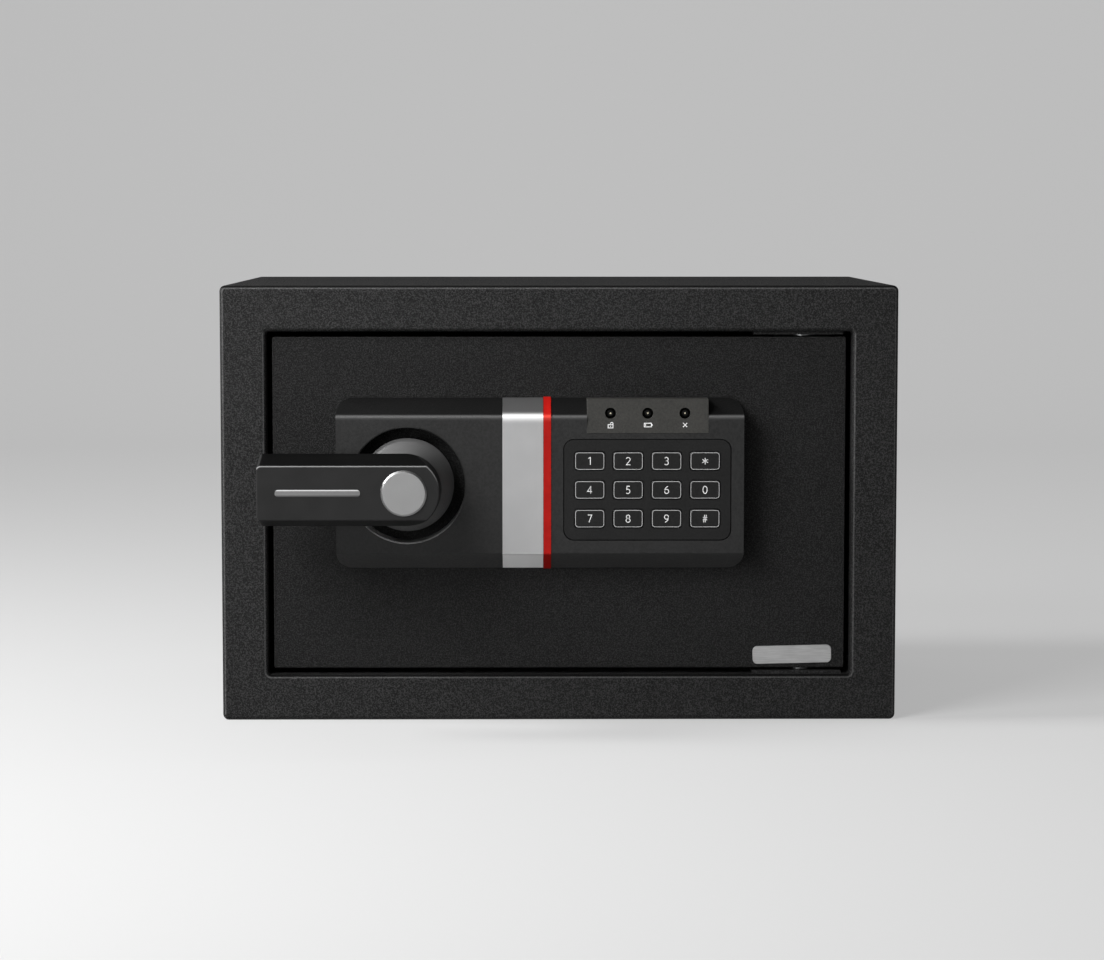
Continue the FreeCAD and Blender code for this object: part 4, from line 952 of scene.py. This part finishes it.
def print_icons():
    """One sign under each lamp, on the hood's leaning face."""
    low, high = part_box("indicator_hood")
    points = [vertex.co for vertex in frame["nodes"]["indicator_hood"].data.vertices]
    top_y = min(point.y for point in points if point.z > high.z - face_reach)
    lean = math.atan2(top_y - low.y, high.z - low.z)
    build = bmesh.new()
    for centre, draw in zip(lamp_centres(), (open_padlock, battery_sign, cross_sign)):
        z = centre.z - icon_drop
        y = low.y + (z - low.z) * math.tan(lean)
        part = printed_mesh("icon", draw(icon_size), icon_line, facing_front((centre.x, y, z), lean))
        build.from_mesh(part)
        bpy.data.meshes.remove(part)
    add_piece("lamp_signs", finished_mesh(build, "lamp_signs", SIGN_INK), "door")


# Pieces

def blank_plate():
    """Plain silver plate near the door's lower corner, a little askew."""
    build = bmesh.new()
    rim = [build.verts.new((*point, 0)) for point in rounded_outline(tag_width, tag_height, tag_corner)]
    grow_slab(build, [build.faces.new(rim)], tag_thickness)
    edges = [edge for edge in build.edges if all(vertex.co.z > tag_thickness / 2 for vertex in edge.verts)]
    bmesh.ops.bevel(build, geom=edges, offset=tag_bevel, segments=tag_bevel_steps, affect="EDGES")
    bmesh.ops.recalc_face_normals(build, faces=build.faces)
    low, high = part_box("door_plate")
    centre = Vector((high.x - tag_inset, low.y, low.z + tag_rise))
    turn = Matrix.Rotation(-math.radians(tag_tilt), 4, "Y")
    build.transform(Matrix.Translation(centre) @ turn @ Matrix.Rotation(math.pi / 2, 4, "X"))
    add_piece("door_tag", finished_mesh(build, "door_tag", TAG_FINISH), "door")


def turned_mesh(name, profile, centre, sides, material):
    """Closed ring turned about an axis along Y, from (radius, y) points."""
    build = bmesh.new()
    angles = [2 * math.pi * side / sides for side in range(sides)]
    rings = [[build.verts.new((centre.x + radius * math.cos(angle), y, centre.z + radius * math.sin(angle)))
              for angle in angles] for radius, y in profile]
    for ring, following in zip(rings, rings[1:] + rings[:1]):
        for side in range(sides):
            after = (side + 1) % sides
            build.faces.new((ring[side], ring[after], following[after], following[side]))
    bmesh.ops.recalc_face_normals(build, faces=build.faces)
    mesh = finished_mesh(build, name, material)
    smooth_faces(mesh)
    return mesh


def turned_hub():
    """Cone under the lever on a stem, with its ring just below the fascia's front."""
    low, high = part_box("lever_hub")
    spindle_low, spindle_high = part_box("spindle")
    bore = (spindle_high.z - spindle_low.z) / 2
    ring_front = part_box("fascia")[0].y + hub_ring_depth
    ring_back = ring_front + hub_ring_height
    shoulder = hub_ring_radius - hub_ring_round
    profile = [(bore, high.y), (hub_stem_radius, high.y), (hub_stem_radius, ring_back),
               (shoulder, ring_back), (hub_ring_radius, ring_back - hub_ring_round),
               (hub_ring_radius, ring_front + hub_ring_round), (shoulder, ring_front),
               (hub_neck_radius, low.y), (bore, low.y)]
    mesh = turned_mesh("turned_hub", profile, middle_of("lever_hub"), hub_sides, LOOKS["hub_satin"])
    hub = add_piece("turned_hub", mesh, "lever")
    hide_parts("lever_hub")


def punch_holes(build, holes, radius):
    """Cut round holes in a flat grid. Cells inside go, and the corners beside them move to the edge."""
    inside = [face for face in build.faces
              if min((face.calc_center_median() - hole).length for hole in holes) < radius]
    bmesh.ops.delete(build, geom=inside, context="FACES")
    for vertex in build.verts:
        hole = min(holes, key=lambda place: (vertex.co - place).length)
        away = vertex.co - hole
        if vertex.is_boundary and away.length < radius * felt_edge_share:
            vertex.co = hole + away.normalized() * radius


def felt_mat():
    """Felt that lies on the floor: a slightly uneven sheet with two punched holes."""
    low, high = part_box("floor_mat")
    width, length, thickness = high - low
    build = bmesh.new()
    bmesh.ops.create_grid(build, x_segments=felt_cells[0], y_segments=felt_cells[1], size=0.5)
    for vertex in build.verts:
        vertex.co.x *= width
        vertex.co.y *= length
    centre = Vector(((low.x + high.x) / 2, (low.y + high.y) / 2, 0))
    punch_holes(build, [Vector((side * anchor_reach, 0, 0)) - centre for side in (-1, 1)], felt_hole)
    for vertex in grow_slab(build, list(build.faces), 0.0):
        wave = noise.noise(vertex.co / felt_wave_length) * felt_wave
        fuzz = noise.noise(vertex.co / felt_fuzz_length) * felt_fuzz
        vertex.co.z += thickness - felt_wave - felt_fuzz + (wave + fuzz)
    bmesh.ops.recalc_face_normals(build, faces=build.faces)
    build.transform(Matrix.Translation((centre.x, centre.y, low.z)))
    mesh = finished_mesh(build, "felt_mat", LOOKS["floor_felt"])
    mesh.shade_smooth()
    mat = add_piece("felt_mat", mesh, "body")
    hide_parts("floor_mat")


def screw_group():
    """Pan-head screws with a cross recess, on the corners of a rectangle. The heads look along +Y."""
    names = ("Head Radius", "Head Height", "Shank Radius", "Shank Length", "Spread X", "Spread Z",
             "Recess Width", "Recess Length", "Recess Depth")
    group = new_tree("pan head screws", names)
    tree = Tree(group)
    size = group_inputs(tree, group)

    def vector(x, y, z):
        return tree.node("ShaderNodeCombineXYZ", inputs={0: x, 1: y, 2: z})

    def moved(geometry, place, scale=(1, 1, 1)):
        return tree.node("GeometryNodeTransform", inputs={
            "Geometry": geometry, "Translation": place, "Scale": scale})

    ball = tree.node("GeometryNodeMeshUVSphere", inputs={
        "Segments": screw_sides, "Rings": screw_rings, "Radius": 1.0})
    dome = moved(ball, (0, 0, 0), vector(size["Head Radius"], size["Head Radius"], size["Head Height"]))
    room = tree.node("GeometryNodeMeshCube", inputs={"Size": vector(
        3 * size["Head Radius"], 3 * size["Head Radius"], 2 * size["Head Height"])})
    upper = moved(room, vector(0.0, 0.0, size["Head Height"]))
    head = tree.node("GeometryNodeMeshBoolean", {
        "operation": "INTERSECT", "solver": "EXACT"}, {1: [dome, upper]})
    slots = []
    for long_x, long_y in ((1, 0), (0, 1)):
        sides = [size["Recess Length"] if share else size["Recess Width"] for share in (long_x, long_y)]
        bar = tree.node("GeometryNodeMeshCube", inputs={"Size": vector(*sides, 2 * size["Recess Depth"])})
        slots.append(moved(bar, vector(0.0, 0.0, size["Head Height"])))
    head = tree.node("GeometryNodeMeshBoolean", {
        "operation": "DIFFERENCE", "solver": "EXACT"}, {0: head, 1: slots})
    head = tree.node("GeometryNodeMergeByDistance", inputs={"Geometry": head, "Distance": weld_gap})
    shank = tree.node("GeometryNodeMeshCylinder", inputs={
        "Vertices": screw_sides, "Radius": size["Shank Radius"], "Depth": size["Shank Length"]})
    shank = moved(shank, vector(0.0, 0.0, size["Shank Length"] * -0.5))
    screw = tree.node("GeometryNodeJoinGeometry", inputs={0: [head, shank]})
    corners = tree.node("GeometryNodeMeshGrid", inputs={
        "Size X": size["Spread X"], "Size Y": size["Spread Z"], "Vertices X": 2, "Vertices Y": 2})
    all_four = tree.node("GeometryNodeInstanceOnPoints", inputs={"Points": corners, "Instance": screw})
    turned = tree.node("GeometryNodeTransform", inputs={
        "Geometry": all_four, "Rotation": (-math.pi / 2, 0, 0)})
    close_tree(tree, turned, size["Material"])
    return group


def cover_screws():
    """The four screws of the inner cover, with their recesses."""
    low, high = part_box("cover_screws")
    seat = high.y - screw_head_height
    sizes = {"Head Radius": screw_head_radius, "Head Height": screw_head_height,
             "Shank Radius": screw_shank_radius, "Shank Length": seat - low.y,
             "Spread X": high.x - low.x - 2 * screw_head_radius,
             "Spread Z": high.z - low.z - 2 * screw_head_radius,
             "Recess Width": recess_width, "Recess Length": recess_length, "Recess Depth": recess_depth}
    mesh = grown_mesh("pan_screws", screw_group(), sizes, LOOKS["zinc_steel"])
    mesh.transform(Matrix.Translation(((low.x + high.x) / 2, seat, (low.z + high.z) / 2)))
    smooth_faces(mesh)
    screws = add_piece("pan_screws", mesh, "door")
    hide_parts("cover_screws")


def rib_group():
    """Row of rounded bars along Z. Each lies along X, on a face that looks along +Y."""
    group = new_tree("grip ribs", ("Width", "Radius", "Pitch"))
    tree = Tree(group)
    size = group_inputs(tree, group)
    bar = tree.node("GeometryNodeMeshCylinder", inputs={
        "Vertices": rib_sides, "Radius": size["Radius"], "Depth": size["Width"]})
    laid = tree.node("GeometryNodeTransform", inputs={"Geometry": bar, "Rotation": (0, math.pi / 2, 0)})
    step = tree.node("ShaderNodeCombineXYZ", inputs={0: 0.0, 1: 0.0, 2: size["Pitch"]})
    row = tree.node("GeometryNodeMeshLine", inputs={"Count": rib_count, "Offset": step})
    ribs = tree.node("GeometryNodeInstanceOnPoints", inputs={"Points": row, "Instance": laid})
    close_tree(tree, ribs, size["Material"])
    return group


def lid_ribs():
    """Ribs for the thumb above the battery lid's notch."""
    low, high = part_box("battery_cover")
    sizes = {"Width": rib_width, "Radius": rib_radius, "Pitch": rib_pitch}
    mesh = grown_mesh("lid_ribs", rib_group(), sizes, LOOKS["black_plastic"])
    mesh.transform(Matrix.Translation(((low.x + high.x) / 2, high.y, low.z + ribs_rise)))
    smooth_faces(mesh)
    add_piece("lid_ribs", mesh, "battery_cover")


# Studio

def floor_paper():
    """Grey studio paper that the camera sees as pale. So do shiny faces, in its flat part."""
    look = Look("studio paper")
    pale = look.node("ShaderNodeBsdfDiffuse", inputs={"Color": linear(floor_colour)})
    grey = look.node("ShaderNodeBsdfDiffuse", inputs={"Color": linear(floor_bounce_colour)})
    glow = look.node("ShaderNodeEmission", inputs={"Color": white, "Strength": floor_glow})
    seen = look.node("ShaderNodeLightPath", output="Is Camera Ray")
    shine = look.node("ShaderNodeLightPath", output="Is Glossy Ray")
    flat = look.axis("Z").under(floor_shine_height)
    paper = look.node("ShaderNodeMixShader", inputs={0: seen, 1: grey, 2: pale})
    both = look.node("ShaderNodeMixShader", inputs={
        0: (seen + shine * flat) * floor_glow_share, 1: paper, 2: glow})
    look.node("ShaderNodeOutputMaterial", inputs={"Surface": both})
    return look.material


def sweep_floor():
    """Floor that rises in a curve to a wall behind the object."""
    build = bmesh.new()
    profile = [(floor_front, 0.0)]
    for step in range(sweep_steps + 1):
        angle = math.pi / 2 * step / sweep_steps
        profile.append((floor_back + sweep_radius * math.sin(angle), sweep_radius * (1 - math.cos(angle))))
    profile.append((floor_back + sweep_radius, wall_height))
    rows = [[build.verts.new((side * floor_half_width, y, z)) for side in (-1, 1)] for y, z in profile]
    for (left, right), (next_left, next_right) in zip(rows, rows[1:]):
        build.faces.new((left, right, next_right, next_left))
    mesh = finished_mesh(build, "floor", floor_paper())
    mesh.shade_smooth()
    floor = bpy.data.objects.new("floor", mesh)
    bpy.context.scene.collection.objects.link(floor)


def light_studio():
    """Soft lamps, and a faint even light from all round."""
    for name, place, size, target, power in studio_lamps:
        light = bpy.data.lights.new(name, "AREA")
        light.shape = "RECTANGLE"
        light.size, light.size_y = size
        light.energy = power
        lamp = bpy.data.objects.new(name, light)
        lamp.location = place
        lamp.rotation_euler = (Vector(target) - Vector(place)).to_track_quat("-Z", "Y").to_euler()
        bpy.context.scene.collection.objects.link(lamp)
    world = bpy.data.worlds.new("studio")
    world.use_nodes = True
    background = world.node_tree.nodes["Background"]
    background.inputs["Color"].default_value = white
    background.inputs["Strength"].default_value = world_light
    bpy.context.scene.world = world


def place_camera():
    """Camera that looks at the front from a little above."""
    data = bpy.data.cameras.new("camera")
    data.lens = camera_lens
    data.sensor_width = sensor_width
    camera = bpy.data.objects.new("camera", data)
    camera.location = camera_place
    camera.rotation_euler = (math.radians(camera_tilt), 0, math.radians(camera_turn))
    bpy.context.scene.collection.objects.link(camera)
    bpy.context.scene.camera = camera


dress_nodes()
print_keys()
print_icons()
blank_plate()
turned_hub()
felt_mat()
cover_screws()
lid_ribs()
sweep_floor()
light_studio()
place_camera()
bpy.context.scene.view_settings.view_transform = "Standard"
